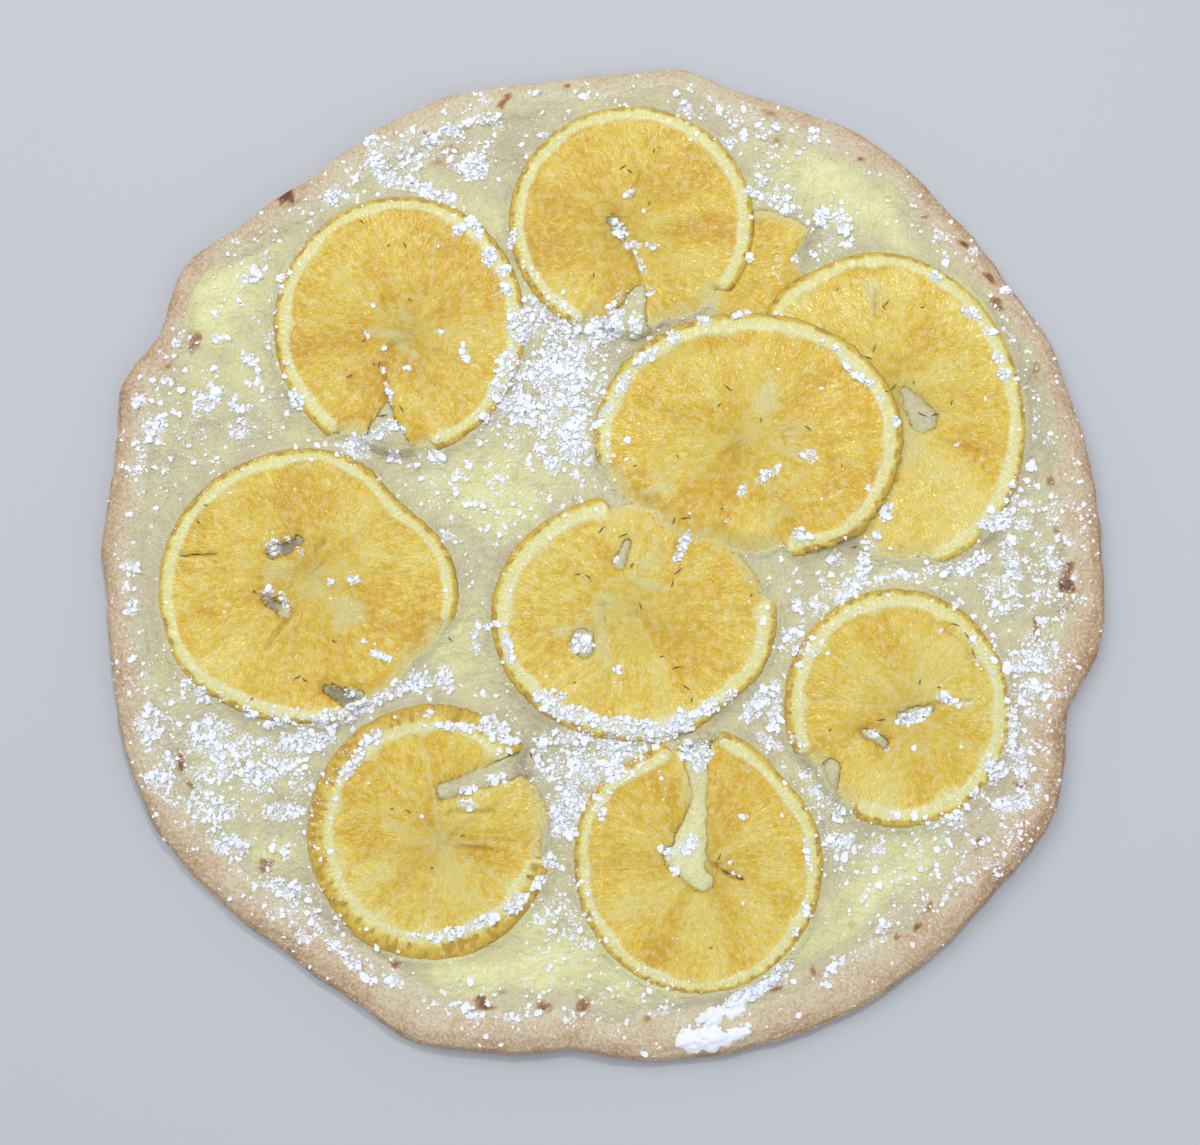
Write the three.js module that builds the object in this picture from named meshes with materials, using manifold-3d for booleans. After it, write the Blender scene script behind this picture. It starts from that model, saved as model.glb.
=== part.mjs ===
// A sweet pizza: a thin, uneven round of baked dough, a layer of custard cream inside its rim, nine baked
// slices of orange and a scrap of a tenth, and clumps of icing sugar.
// Millimetres, +Z up. The origin lies on the table, in the middle of the pizza's outline.

import * as THREE from "three";
import { mergeVertices } from "three/addons/utils/BufferGeometryUtils.js";
import Module from "manifold-3d";

const wasm = await Module();
wasm.setup();

// ---- Driving dimensions --------------------------------------------------------------------------------

const gap = 0.3; // room left between pieces that touch
const middle = new THREE.Vector3(0.48, 1.2, 0); // middle of the outline, from where its radii are taken

const doughRadius = 145.2; // mean radius of the outline
const doughFloor = 4.2; // height of the dough under the custard
const rimHeight = 8.2; // height of the baked rim
const rimWidth = 12.5; // from the outline to the custard
const rimSlope = 3; // width of the rim's inner slope
const doughSectors = 90;

const custardTop = 6.7; // level on which the orange slices lie
const custardHollow = 0.9; // depth of the hollows in the custard between the slices

const sliceThickness = 3;
const sliceSectors = 30;
const segments = 10; // segments of flesh in one slice
const rindWidth = 4.6; // peel and pith, where a slice still has them
const seat = custardTop + gap; // underside of the slices

const sugarSeed = 11;

// The outline's bulges and dents: direction in degrees, reach in mm, half-width in degrees.
const outlineWaves = [
  { at: 25, reach: 1.5, spread: 4 },
  { at: 57, reach: 2.9, spread: 9 },
  { at: 80.5, reach: 3.4, spread: 4.5 },
  { at: 97, reach: -1.5, spread: 5 },
  { at: 127, reach: -2.6, spread: 10 },
  { at: 145.5, reach: 5.2, spread: 6 },
  { at: 160.5, reach: 4.3, spread: 4.5 },
  { at: 190, reach: -1.2, spread: 6 },
  { at: 212, reach: 5, spread: 13 },
  { at: 249, reach: 3.6, spread: 6 },
  { at: 267.5, reach: -3.6, spread: 5.5 },
  { at: 304, reach: 3.9, spread: 20 },
  { at: 328, reach: 4, spread: 7 },
  { at: 341, reach: -3.6, spread: 5 },
  { at: 352, reach: 1.8, spread: 7 },
];

// Where the rim is narrower or wider than its mean width.
const rimWidthWaves = [
  { at: 26, reach: -4.4, spread: 20 },
  { at: 86, reach: -2.5, spread: 14 },
  { at: 150, reach: -3.5, spread: 20 },
  { at: 196, reach: -1, spread: 14 },
  { at: 245, reach: 3, spread: 24 },
  { at: 310, reach: 4, spread: 26 },
];

// Where the rim stands higher or lower than its mean height.
const rimHeightWaves = [
  { at: 10, reach: 0.5, spread: 9 },
  { at: 48, reach: -0.6, spread: 11 },
  { at: 84, reach: -0.5, spread: 13 },
  { at: 118, reach: 0.5, spread: 8 },
  { at: 137, reach: 1.1, spread: 6 },
  { at: 165, reach: -0.7, spread: 10 },
  { at: 205, reach: 0.6, spread: 12 },
  { at: 238, reach: -0.5, spread: 9 },
  { at: 262, reach: 0.8, spread: 9 },
  { at: 296, reach: -0.6, spread: 12 },
  { at: 322, reach: 0.9, spread: 10 },
  { at: 350, reach: -0.4, spread: 8 },
];

const largeBlister = 3.2; // a blister of this radius or more is round, a smaller one is blunt

// Blisters baked into the rim: direction in degrees, distance in from the outline, radius.
const blisters = [
  { at: 129.6, inset: 3.4, size: 3.6 },
  { at: 132.4, inset: 5.5, size: 2.6 },
  { at: 152.5, inset: 7, size: 2.8 },
  { at: 166, inset: 7.5, size: 3 },
  { at: 207, inset: 9, size: 3 },
  { at: 209.5, inset: 5.5, size: 2.6 },
  { at: 256, inset: 12, size: 2.8 },
  { at: 263.5, inset: 9, size: 3 },
  { at: 268, inset: 10, size: 2.8 },
  { at: 281, inset: 11, size: 2.6 },
  { at: 296, inset: 8, size: 2.4 },
  { at: 310.5, inset: 9, size: 2.8 },
  { at: 321, inset: 9.5, size: 2.8 },
  { at: 330, inset: 7, size: 3.2 },
  { at: 355, inset: 8, size: 4 },
  { at: 359, inset: 7, size: 2.8 },
  { at: 8, inset: 9.5, size: 2.6 },
  { at: 22.2, inset: 6.5, size: 3 },
  { at: 32, inset: 6, size: 2.6 },
  { at: 40, inset: 4.5, size: 3 },
  { at: 68, inset: 8, size: 2.6 },
  { at: 101.5, inset: 7, size: 2.6 },
];

// The orange slices. Each is an ellipse of two radii, turned about its middle and pulled in or out by
// waves. Its rind is missing over the bare stretch. A tear runs between two rounded ends, each given from
// the slice's middle. Sugar lies along the dusted stretches of the rind.
const slices = {
  top: {
    at: [8.9, 97.3],
    radii: [36.4, 35.9],
    bare: [244, 322],
    tears: [
      { from: [-5.4, 0.4], to: [-2.8, -4.8], ends: [2.2, 1.3] },
      { from: [2.4, -21], to: [-3.4, -37.3], ends: [2.3, 8.1] },
    ],
    dusted: [[160, 215, 3]],
  },
  upper_left: {
    at: [-59.1, 65.9],
    radii: [37, 39.5],
    bare: [240, 285],
    tears: [{ from: [-3.6, -24], to: [-3.9, -40.7], ends: [1.4, 10] }],
    dusted: [[330, 420, 5], [150, 215, 3]],
  },
  left: {
    at: [-84.1, -10.5],
    radii: [43.5, 40.2],
    bare: [290, 345],
    waves: [{ at: 42, reach: -6.2, spread: 26 }, { at: 215, reach: 1.4, spread: 14 }],
    tears: [
      { from: [-10.4, 9.4], to: [-3.6, 12.4], ends: [2, 1.9] },
      { from: [-13.3, -3.6], to: [-7.2, -7.3], ends: [1.2, 2.6] },
      { from: [6, -30], to: [13.5, -33], ends: [1.6, 3.2] },
    ],
    dusted: [[235, 280, 2]],
  },
  bottom_left: {
    at: [-48.1, -80.7],
    radii: [35, 36],
    bare: [346, 400],
    waves: [{ at: 5, reach: 2.5, spread: 10 }],
    tears: [{ from: [3.5, 11], to: [27.2, 19.6], ends: [2.4, 3.4] }],
    dusted: [[62, 125, 4], [300, 340, 2]],
  },
  bottom: {
    at: [27.3, -88.5],
    radii: [35.3, 37.5],
    bare: [80, 104],
    waves: [{ at: 117, reach: -3.6, spread: 20 }, { at: 46, reach: -2.6, spread: 22 }],
    tears: [
      { from: [-5.8, 0.5], to: [1.2, -6], ends: [4.4, 3.2] },
      { from: [-2.4, 2.7], to: [0.6, 16], ends: [5.4, 2] },
      { from: [0.6, 15], to: [-0.6, 34], ends: [1.6, 4.4] },
    ],
    dusted: [[275, 300, 2], [120, 140, 1]],
  },
  lower_right: {
    at: [84.4, -45.6],
    radii: [32.4, 34.1],
    bare: [206, 246],
    tears: [
      { from: [-18.8, -16.8], to: [-24, -24.8], ends: [2.3, 6.9] },
      { from: [1, -2.8], to: [9.1, -0.3], ends: [1.3, 1.6] },
      { from: [-9.2, -7.4], to: [-3.6, -10.4], ends: [1.6, 1.3] },
    ],
    dusted: [[355, 385, 2], [260, 285, 2]],
  },
  upper_right: {
    at: [85.3, 41.3],
    radii: [38, 47.5],
    turn: 12,
    bare: [225, 283],
    waves: [{ at: 138, reach: 4, spread: 16 }],
    tears: [
      { from: [3.6, 4.6], to: [8.4, -3.2], ends: [2.2, 4.2] },
      { from: [25, -36], to: [31, -42], ends: [1.5, 5] },
    ],
    dusted: [[10, 62, 4], [318, 340, 2]],
  },
  centre: {
    at: [9.3, -19.8],
    radii: [41.2, 35.7],
    bare: [7, 103],
    waves: [{ at: 318, reach: -1.8, spread: 14 }],
    tears: [
      { from: [-1.7, 21.6], to: [-4.4, 15.4], ends: [1.4, 1.8] },
      { from: [-14.9, -6.2], to: [-14.3, -8.6], ends: [3.3, 3] },
    ],
    dusted: [[170, 205, 3], [215, 300, 6]],
  },
  centre_right: {
    at: [42.3, 32.5],
    radii: [44.7, 36.8],
    bare: [191, 289],
    waves: [{ at: 318, reach: 2, spread: 14 }],
    over: ["top", "upper_right", "centre"],
    tears: [],
    dusted: [[120, 180, 5], [20, 50, 2]],
  },
};

// The scrap of a tenth slice that shows between its neighbours, drawn round its visible edge.
const scrapEdge = [[34, 97], [57.3, 99], [62.3, 96.6], [58.7, 92.6], [58, 84], [60, 70], [40, 62]];
const scrapThickness = 2;

// Where the icing sugar lies in clumps: middle of the patch, its two half-widths, number of clumps.
const sugarPatches = [
  { at: [-12, 47], reach: [13, 17], clumps: 8 },
  { at: [-22, 30], reach: [10, 12], clumps: 3 },
  { at: [-110, -56], reach: [17, 12], clumps: 7 },
  { at: [-83, -57], reach: [16, 4], clumps: 3 },
  { at: [-47, -37], reach: [6, 5], clumps: 2 },
  { at: [-8, -66], reach: [6, 12], clumps: 4 },
  { at: [47, -44], reach: [10, 10], clumps: 4 },
  { at: [124, -29], reach: [12, 26], clumps: 7 },
  { at: [111, 5], reach: [10, 7], clumps: 4 },
  { at: [61, 104], reach: [12, 8], clumps: 3 },
  { at: [-60, 118], reach: [17, 8], clumps: 7 },
  { at: [-118, 40], reach: [10, 12], clumps: 3 },
  { at: [116, -69], reach: [10, 8], clumps: 3 },
  { at: [72, -88], reach: [8, 4], clumps: 2 },
  { at: [-10, -112], reach: [14, 8], clumps: 3 },
];
const clumpSizes = [1.1, 2.1]; // smallest and largest radius
const clumpHeight = 1.6;

// The thick drift of sugar on the lower part of the rim: middle, two half-widths, turn in degrees, height.
const drift = [
  { at: [29, -132], radii: [8, 5.5], turn: 20, height: 1.6 },
  { at: [36, -135.5], radii: [9, 4.5], turn: -8, height: 1.4 },
  { at: [41, -128], radii: [10, 3], turn: 24, height: 1.5 },
];

const colours = {
  dough: "#cdb693",
  custard: "#dedaa8",
  orange: "#dcc05f",
};

// ---- Small helpers -------------------------------------------------------------------------------------

const radians = THREE.MathUtils.degToRad;
const smoothstep = THREE.MathUtils.smoothstep;
const lerp = THREE.MathUtils.lerp;

function makeRandom(seed) {
  let state = seed;
  return () => {
    state = (state + 0x6d2b79f5) | 0;
    let value = Math.imul(state ^ (state >>> 15), 1 | state);
    value = (value + Math.imul(value ^ (value >>> 7), 61 | value)) ^ value;
    return ((value ^ (value >>> 14)) >>> 0) / 2 ** 32;
  };
}

function directionOf(x, y) {
  return THREE.MathUtils.euclideanModulo(THREE.MathUtils.radToDeg(Math.atan2(y, x)), 360);
}

function apart(from, to) {
  return THREE.MathUtils.euclideanModulo(from - to + 180, 360) - 180;
}

function waveSum(waves, direction) {
  return waves.reduce(
    (sum, wave) => sum + wave.reach * Math.exp(-((apart(direction, wave.at) / wave.spread) ** 2)),
    0,
  );
}

// Every vertex goes where the rule sends it.
function bend(geometry, rule) {
  const places = geometry.attributes.position;
  for (let i = 0; i < places.count; i += 1) {
    places.setXYZ(i, ...rule(places.getX(i), places.getY(i), places.getZ(i)));
  }
  return geometry;
}

// A turned form about the vertical axis, from a profile of [radius, height] points.
function turned(profile, sectors) {
  const points = profile.map(([radius, height]) => new THREE.Vector2(radius, height));
  return new THREE.LatheGeometry(points, sectors).rotateX(Math.PI / 2);
}

function solidOf(geometry) {
  const bare = geometry.clone();
  bare.deleteAttribute("normal");
  bare.deleteAttribute("uv");
  const merged = mergeVertices(bare, 1e-4);
  const corners = merged.index ? Array.from(merged.index.array) : [...merged.attributes.position.array.keys()];
  const whole = [];
  for (let i = 0; i < corners.length; i += 3) {
    const [a, b, c] = corners.slice(i, i + 3);
    if (a !== b && b !== c && c !== a) whole.push(a, b, c);
  }
  return new wasm.Manifold(new wasm.Mesh({
    numProp: 3,
    vertProperties: new Float32Array(merged.attributes.position.array),
    triVerts: new Uint32Array(whole),
  }));
}

function geometryOf(solid) {
  const mesh = solid.getMesh();
  const geometry = new THREE.BufferGeometry();
  geometry.setAttribute("position", new THREE.BufferAttribute(mesh.vertProperties, 3));
  geometry.setIndex(new THREE.BufferAttribute(mesh.triVerts, 1));
  geometry.computeVertexNormals();
  return geometry;
}

function largestBody(solid) {
  const bodies = solid.decompose();
  return bodies.reduce((best, body) => (body.volume() > best.volume() ? body : best));
}

// ---- Dough and custard ---------------------------------------------------------------------------------

function outlineAt(direction) {
  return doughRadius + waveSum(outlineWaves, direction);
}

function rimWidthAt(direction) {
  return rimWidth + waveSum(rimWidthWaves, direction);
}

// Moves a turned form's rings so that its edge follows the outline and its inner rings the rim's width.
function followOutline(x, y) {
  const radius = Math.hypot(x, y);
  const direction = directionOf(x, y);
  const edgeMove = outlineAt(direction) - doughRadius;
  const rimMove = edgeMove - (rimWidthAt(direction) - rimWidth);
  const innerRing = doughRadius - rimWidth;
  const still = innerRing - 45;
  const move = radius > innerRing
    ? lerp(rimMove, edgeMove, smoothstep(radius, innerRing, doughRadius - 3))
    : rimMove * smoothstep(radius, still, innerRing - rimSlope - 1);
  const scale = radius > 0 ? (radius + move) / radius : 1;
  return [x * scale, y * scale];
}

function rimRise(direction, radius) {
  const onRim = smoothstep(radius, doughRadius - rimWidth - 1, doughRadius - rimWidth + 4);
  return waveSum(rimHeightWaves, direction) * onRim;
}

function makeDough() {
  const inner = doughRadius - rimWidth;
  const profile = [
    [0, 0],
    [doughRadius - 7, 0],
    [doughRadius - 2, 0.9],
    [doughRadius, 3.4],
    [doughRadius - 1.6, rimHeight - 1.6],
    [doughRadius - 5, rimHeight],
    [inner + 3.5, rimHeight - 0.3],
    [inner, rimHeight - 0.9],
    [inner - rimSlope, doughFloor],
    [inner * 0.5, doughFloor],
    [0, doughFloor],
  ];
  const form = bend(turned(profile, doughSectors), (x, y, z) => {
    const rise = z > doughFloor + 1 ? rimRise(directionOf(x, y), Math.hypot(x, y)) : 0;
    return [...followOutline(x, y), z + rise];
  });
  const bumps = blisters.map(({ at, inset, size }) => {
    const reach = outlineAt(at) - inset;
    const bump = new THREE.IcosahedronGeometry(size, size < largeBlister ? 0 : 1).scale(1, 1, 0.62);
    const x = reach * Math.cos(radians(at));
    const y = reach * Math.sin(radians(at));
    return solidOf(bump.translate(x, y, rimTopAt(at, inset) - 0.15));
  });
  return wasm.Manifold.union([solidOf(form), ...bumps]);
}

function rimTopAt(direction, inset) {
  const shoulder = smoothstep(inset, 0, 5);
  const rise = waveSum(rimHeightWaves, direction) * smoothstep(rimWidthAt(direction) - inset, -1, 4);
  return lerp(rimHeight - 3, rimHeight - 0.3, shoulder) + rise;
}

// Hollows and swells of the custard, deepest at 1 and flat at 0.
function custardWave(x, y) {
  const long = Math.sin(x / 11 + 1.3 * Math.sin(y / 17));
  const cross = Math.sin(y / 9 - 1.1 * Math.sin(x / 14));
  return 0.5 + 0.25 * (long + cross);
}

function makeCustard() {
  const inner = doughRadius - rimWidth;
  const slope = rimSlope / (rimHeight - 0.9 - doughFloor);
  const bottom = doughFloor + gap;
  const floorEdge = inner - rimSlope - 0.4;
  const topEdge = inner - rimSlope + (custardTop - doughFloor) * slope - 0.55;
  const rings = [0.97, 0.85, 0.68, 0.48, 0.25];
  const profile = [
    [0, bottom],
    [floorEdge, bottom],
    [topEdge, custardTop - 0.2],
    ...rings.map((share) => [topEdge * share, custardTop]),
    [0, custardTop],
  ];
  const form = bend(turned(profile, doughSectors), (x, y, z) => {
    const [newX, newY] = followOutline(x, y);
    const inside = 1 - smoothstep(Math.hypot(x, y), topEdge * 0.9, topEdge * 0.97);
    const onTop = z > custardTop - 0.1;
    return [newX, newY, onTop ? z - custardHollow * custardWave(newX, newY) * inside : z];
  });
  return solidOf(form);
}

// ---- Orange slices -------------------------------------------------------------------------------------

function isBare(slice, direction) {
  const [start, end] = slice.bare;
  const centre = (start + end) / 2;
  const half = (end - start) / 2;
  return 1 - smoothstep(Math.abs(apart(direction, centre)), half - 3, half + 3);
}

// The slice's radius in one direction, without its rind over the bare stretch.
function sliceRadius(slice, direction) {
  const angle = radians(direction - (slice.turn ?? 0));
  const [across, along] = slice.radii;
  const ellipse = 1 / Math.hypot(Math.cos(angle) / across, Math.sin(angle) / along);
  const scallop = Math.abs(Math.sin(radians(direction * segments) / 2));
  const torn = isBare(slice, direction) * (rindWidth - 2.2 * scallop);
  return ellipse + waveSum(slice.waves ?? [], direction) - torn;
}

// Distance outside the slice's edge, less than nought inside it.
function outside(slice, x, y) {
  const dx = x - slice.at[0];
  const dy = y - slice.at[1];
  return Math.hypot(dx, dy) - sliceRadius(slice, directionOf(dx, dy));
}

// A slice that lies over others is raised by one thickness where it covers them.
function liftAt(slice, x, y) {
  const step = sliceThickness + gap;
  const lifts = (slice.over ?? []).map((name) => step * (1 - smoothstep(outside(slices[name], x, y), 2, 14)));
  return Math.max(0, ...lifts);
}

// The whole slice before its tears. Growing it by a margin gives the room that it needs.
function sliceForm(slice, margin = 0) {
  const thick = sliceThickness;
  const flesh = 0.76 * thick;
  const profile = [
    [0, 0],
    ...(slice.over ? [[0.4, 0], [0.7, 0]] : []),
    [0.96, 0],
    [1, 0.45 * thick],
    [0.955, thick],
    [0.87, 0.96 * thick],
    [0.82, flesh],
    [0.45, flesh],
    [0, 0.82 * thick],
  ];
  return bend(turned(profile, sliceSectors), (x, y, z) => {
    const share = Math.hypot(x, y);
    const direction = directionOf(x, y);
    const wall = Math.abs(Math.cos(radians(direction * segments) / 2)) ** 4;
    const bare = isBare(slice, direction);
    const onFlesh = z > flesh - 0.01 && share < 0.83;
    const onRind = z > flesh + 0.01 && share > 0.83;
    let height = z;
    if (onFlesh) height += 0.35 * wall * smoothstep(share, 0.1, 0.4);
    if (onRind) height = lerp(height, flesh, bare);
    const scalloped = share > 0.8 && share < 0.84 ? share - 0.035 * wall : share;
    const radius = scalloped * (sliceRadius(slice, direction) + margin);
    const placeX = slice.at[0] + radius * Math.cos(radians(direction));
    const placeY = slice.at[1] + radius * Math.sin(radians(direction));
    const spread = z > 0.01 ? margin : -margin;
    return [placeX, placeY, seat + height + spread + liftAt(slice, placeX, placeY)];
  });
}

// A closed cutter with rounded ends of two sizes, standing through the slice.
function tearCutter(slice, tear) {
  const [fromX, fromY] = tear.from;
  const [toX, toY] = tear.to;
  const heading = Math.atan2(toY - fromY, toX - fromX);
  const outline = new THREE.Shape();
  outline.absarc(fromX, fromY, tear.ends[0], heading + Math.PI / 2, heading + 1.5 * Math.PI);
  outline.absarc(toX, toY, tear.ends[1], heading - Math.PI / 2, heading + Math.PI / 2);
  outline.closePath();
  const depth = 4 * sliceThickness;
  const cutter = new THREE.ExtrudeGeometry(outline, { depth, bevelEnabled: false, curveSegments: 4 });
  return solidOf(cutter.translate(slice.at[0], slice.at[1], seat - sliceThickness));
}

// Distance outside the nearest of the slice's tears.
function outsideTears(slice, x, y) {
  const distances = slice.tears.map(({ from, to, ends }) => {
    const run = new THREE.Vector2(to[0] - from[0], to[1] - from[1]);
    const reach = new THREE.Vector2(x - slice.at[0] - from[0], y - slice.at[1] - from[1]);
    const share = THREE.MathUtils.clamp(reach.dot(run) / run.lengthSq(), 0, 1);
    return reach.sub(run.multiplyScalar(share)).length() - lerp(ends[0], ends[1], share);
  });
  return Math.min(...distances, Infinity);
}

function makeSlice(slice) {
  let solid = solidOf(sliceForm(slice));
  slice.tears.forEach((tear) => {
    solid = solid.subtract(tearCutter(slice, tear));
  });
  (slice.over ?? []).forEach((name) => {
    solid = solid.subtract(solidOf(sliceForm(slices[name], gap)));
  });
  return largestBody(solid);
}

function makeScrap() {
  const outline = new THREE.Shape(scrapEdge.map(([x, y]) => new THREE.Vector2(x, y)));
  const body = new THREE.ExtrudeGeometry(outline, { depth: scrapThickness, bevelEnabled: false });
  let solid = solidOf(body.translate(0, 0, seat));
  ["top", "upper_right", "centre_right"].forEach((name) => {
    solid = solid.subtract(solidOf(sliceForm(slices[name], gap)));
  });
  return largestBody(solid);
}

// ---- Icing sugar ---------------------------------------------------------------------------------------

const random = makeRandom(sugarSeed);

function between(low, high) {
  return lerp(low, high, random());
}

// One crumbly clump, a little sunk into what it lies on.
function makeClump(x, y, top) {
  const size = between(...clumpSizes);
  const clump = new THREE.CylinderGeometry(0.5 * size, size, clumpHeight, 5).rotateX(Math.PI / 2);
  clump.scale(between(0.8, 1.3), between(0.7, 1), between(0.8, 1.2));
  clump.rotateZ(between(0, 2 * Math.PI));
  return solidOf(clump.translate(x, y, top + 0.1 * clumpHeight));
}

// The name of what lies uppermost at a place, or nothing where a clump would touch two pieces.
function carrierAt(x, y) {
  const room = 2.6;
  for (const slice of Object.values(slices)) {
    if (outside(slice, x, y) < room) return null;
  }
  if (x > scrapEdge[0][0] && x < 66 && y > 60 && y < 102) return null;
  const direction = directionOf(x, y);
  const inset = outlineAt(direction) - Math.hypot(x, y);
  const width = rimWidthAt(direction);
  if (inset > width + 2 * room) return "custard";
  if (inset < width - room && inset > room) return "dough";
  return null;
}

function strewPatches() {
  const strewn = { custard: [], dough: [] };
  sugarPatches.forEach(({ at, reach, clumps }) => {
    let left = clumps;
    for (let tries = 0; left > 0 && tries < 20 * clumps; tries += 1) {
      const turn = between(0, 2 * Math.PI);
      const share = Math.sqrt(random());
      const x = at[0] + reach[0] * share * Math.cos(turn);
      const y = at[1] + reach[1] * share * Math.sin(turn);
      const carrier = carrierAt(x, y);
      if (carrier) {
        const direction = directionOf(x, y);
        const inset = outlineAt(direction) - Math.hypot(x, y);
        const top = carrier === "dough"
          ? rimTopAt(direction, inset)
          : custardTop - custardHollow * custardWave(x, y);
        strewn[carrier].push(makeClump(x, y, top));
        left -= 1;
      }
    }
  });
  return strewn;
}

function strewRind(slice) {
  const clumps = [];
  slice.dusted.forEach(([start, end, count]) => {
    for (let i = 0; i < count; i += 1) {
      const direction = lerp(start, end, (i + between(0.1, 0.9)) / count);
      const radius = sliceRadius(slice, direction) * between(0.86, 0.92);
      const x = slice.at[0] + radius * Math.cos(radians(direction));
      const y = slice.at[1] + radius * Math.sin(radians(direction));
      const buried = Object.values(slices).some(
        (other) => other.over && other !== slice && outside(other, x, y) < 4,
      );
      if (!buried && outsideTears(slice, x, y) > 2) {
        clumps.push(makeClump(x, y, seat + 0.97 * sliceThickness + liftAt(slice, x, y)));
      }
    }
  });
  return clumps;
}

function makeDrift() {
  return drift.map(({ at, radii, turn, height }) => {
    const mound = new THREE.SphereGeometry(1, 12, 6).rotateX(Math.PI / 2).scale(radii[0], radii[1], height);
    mound.rotateZ(radians(turn));
    const direction = directionOf(at[0], at[1]);
    const inset = outlineAt(direction) - Math.hypot(at[0], at[1]);
    return solidOf(mound.translate(at[0], at[1], rimTopAt(direction, inset)));
  });
}

// ---- The pizza -----------------------------------------------------------------------------------------

const pizza = new THREE.Group();
pizza.name = "sweet_pizza";
pizza.position.copy(middle).negate();

function place(name, solid, colour, roughness) {
  const material = new THREE.MeshStandardMaterial({ color: colour, roughness, metalness: 0 });
  const mesh = new THREE.Mesh(geometryOf(solid), material);
  mesh.name = name;
  pizza.add(mesh);
}

const strewn = strewPatches();
const dough = wasm.Manifold.union([makeDough(), ...strewn.dough, ...makeDrift()]);
const custard = wasm.Manifold.union([makeCustard(), ...strewn.custard]);

place("dough_base", largestBody(dough), colours.dough, 0.8);
place("custard_layer", largestBody(custard), colours.custard, 0.45);
Object.entries(slices).forEach(([name, slice]) => {
  const solid = wasm.Manifold.union([makeSlice(slice), ...strewRind(slice)]);
  place(`orange_slice_${name}`, largestBody(solid), colours.orange, 0.35);
});
place("orange_scrap", makeScrap(), colours.orange, 0.35);

export default pizza;
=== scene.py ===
# %% [markdown]
# # A sweet pizza with custard and slices of orange
#
# This lesson dresses a plain model of a thin sweet pizza. The plain model gives the size and place of
# every part: a round of dough, a layer of custard cream, nine slices of orange and a scrap of a tenth.
# Each step below remakes one of them as a fine mesh with a material of its own, and the last steps
# scatter icing sugar over the whole and light it.
#
# The first cell loads the plain model as a fixed frame.

# %% Load the frame
import math

import bmesh
import bpy
import numpy as np
from mathutils import Matrix, Vector
from mathutils.bvhtree import BVHTree


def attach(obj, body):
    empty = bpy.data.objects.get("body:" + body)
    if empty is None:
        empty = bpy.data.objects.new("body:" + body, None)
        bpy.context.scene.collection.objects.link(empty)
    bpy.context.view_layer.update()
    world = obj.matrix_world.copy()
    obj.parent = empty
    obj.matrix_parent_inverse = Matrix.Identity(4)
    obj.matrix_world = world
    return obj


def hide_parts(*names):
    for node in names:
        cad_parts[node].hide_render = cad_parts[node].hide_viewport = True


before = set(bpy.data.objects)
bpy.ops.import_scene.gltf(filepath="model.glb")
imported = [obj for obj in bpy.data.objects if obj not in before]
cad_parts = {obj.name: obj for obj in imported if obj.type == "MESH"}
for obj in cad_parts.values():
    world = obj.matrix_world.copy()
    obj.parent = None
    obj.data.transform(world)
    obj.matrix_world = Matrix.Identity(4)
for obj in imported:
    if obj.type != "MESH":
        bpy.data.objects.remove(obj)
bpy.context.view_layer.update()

# %% [markdown]
# ## Sizes
#
# Everything is worked out in millimetres about the middle of the dough's outline, and turned to metres
# about the frame's origin when a mesh is finished. An uneven edge is a mean size plus a few waves, and
# each wave has a direction in degrees, a reach in millimetres and a half-width in degrees. That keeps
# the real outline, with its bulges and dents, in a table short enough to read.

# %% Sizes of the dough and the custard
MM = 0.001
MIDDLE = (0.48, 1.2)  # the frame's origin, seen from the middle of the dough's outline

DOUGH_RADIUS = 145.2
DOUGH_FLOOR = 4.2
RIM_HEIGHT = 8.2
RIM_WIDTH = 12.5
RIM_SLOPE = 3.0
CUSTARD_TOP = 6.7
CUSTARD_HOLLOW = 0.9
SEAT = 7.0  # underside of the orange slices
SLICE_THICK = 3.0
STEP = 3.3  # rise of a slice where it lies on another

OUTLINE = [
    (25, 1.5, 4), (57, 2.9, 9), (80.5, 3.4, 4.5), (97, -1.5, 5), (127, -2.6, 10),
    (145.5, 5.2, 6), (160.5, 4.3, 4.5), (190, -1.2, 6), (212, 5, 13), (249, 3.6, 6),
    (267.5, -3.6, 5.5), (304, 3.9, 20), (328, 4, 7), (341, -3.6, 5), (352, 1.8, 7),
]
RIM_WIDTHS = [(26, -4.4, 20), (86, -2.5, 14), (150, -3.5, 20), (196, -1, 14), (245, 3, 24), (310, 4, 26)]
RIM_HEIGHTS = [
    (10, 0.5, 9), (48, -0.6, 11), (84, -0.5, 13), (118, 0.5, 8), (137, 1.1, 6), (165, -0.7, 10),
    (205, 0.6, 12), (238, -0.5, 9), (262, 0.8, 9), (296, -0.6, 12), (322, 0.9, 10), (350, -0.4, 8),
]


def smoothstep(value, low, high):
    share = np.clip((value - low) / (high - low), 0, 1)
    return share * share * (3 - 2 * share)


def direction_of(x, y):
    return np.degrees(np.arctan2(y, x)) % 360


def apart(one, other):
    return (one - other + 180) % 360 - 180


def wave_sum(waves, direction):
    total = np.zeros_like(direction)
    for at, reach, spread in waves:
        total += reach * np.exp(-((apart(direction, at) / spread) ** 2))
    return total


def outline_at(direction):
    return DOUGH_RADIUS + wave_sum(OUTLINE, direction)


def rim_width_at(direction):
    return RIM_WIDTH + wave_sum(RIM_WIDTHS, direction)


whole_turn = np.arange(0.0, 360.0, 0.5)
print("outline:", round(outline_at(whole_turn).min()), "to", round(outline_at(whole_turn).max()), "mm")

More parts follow.
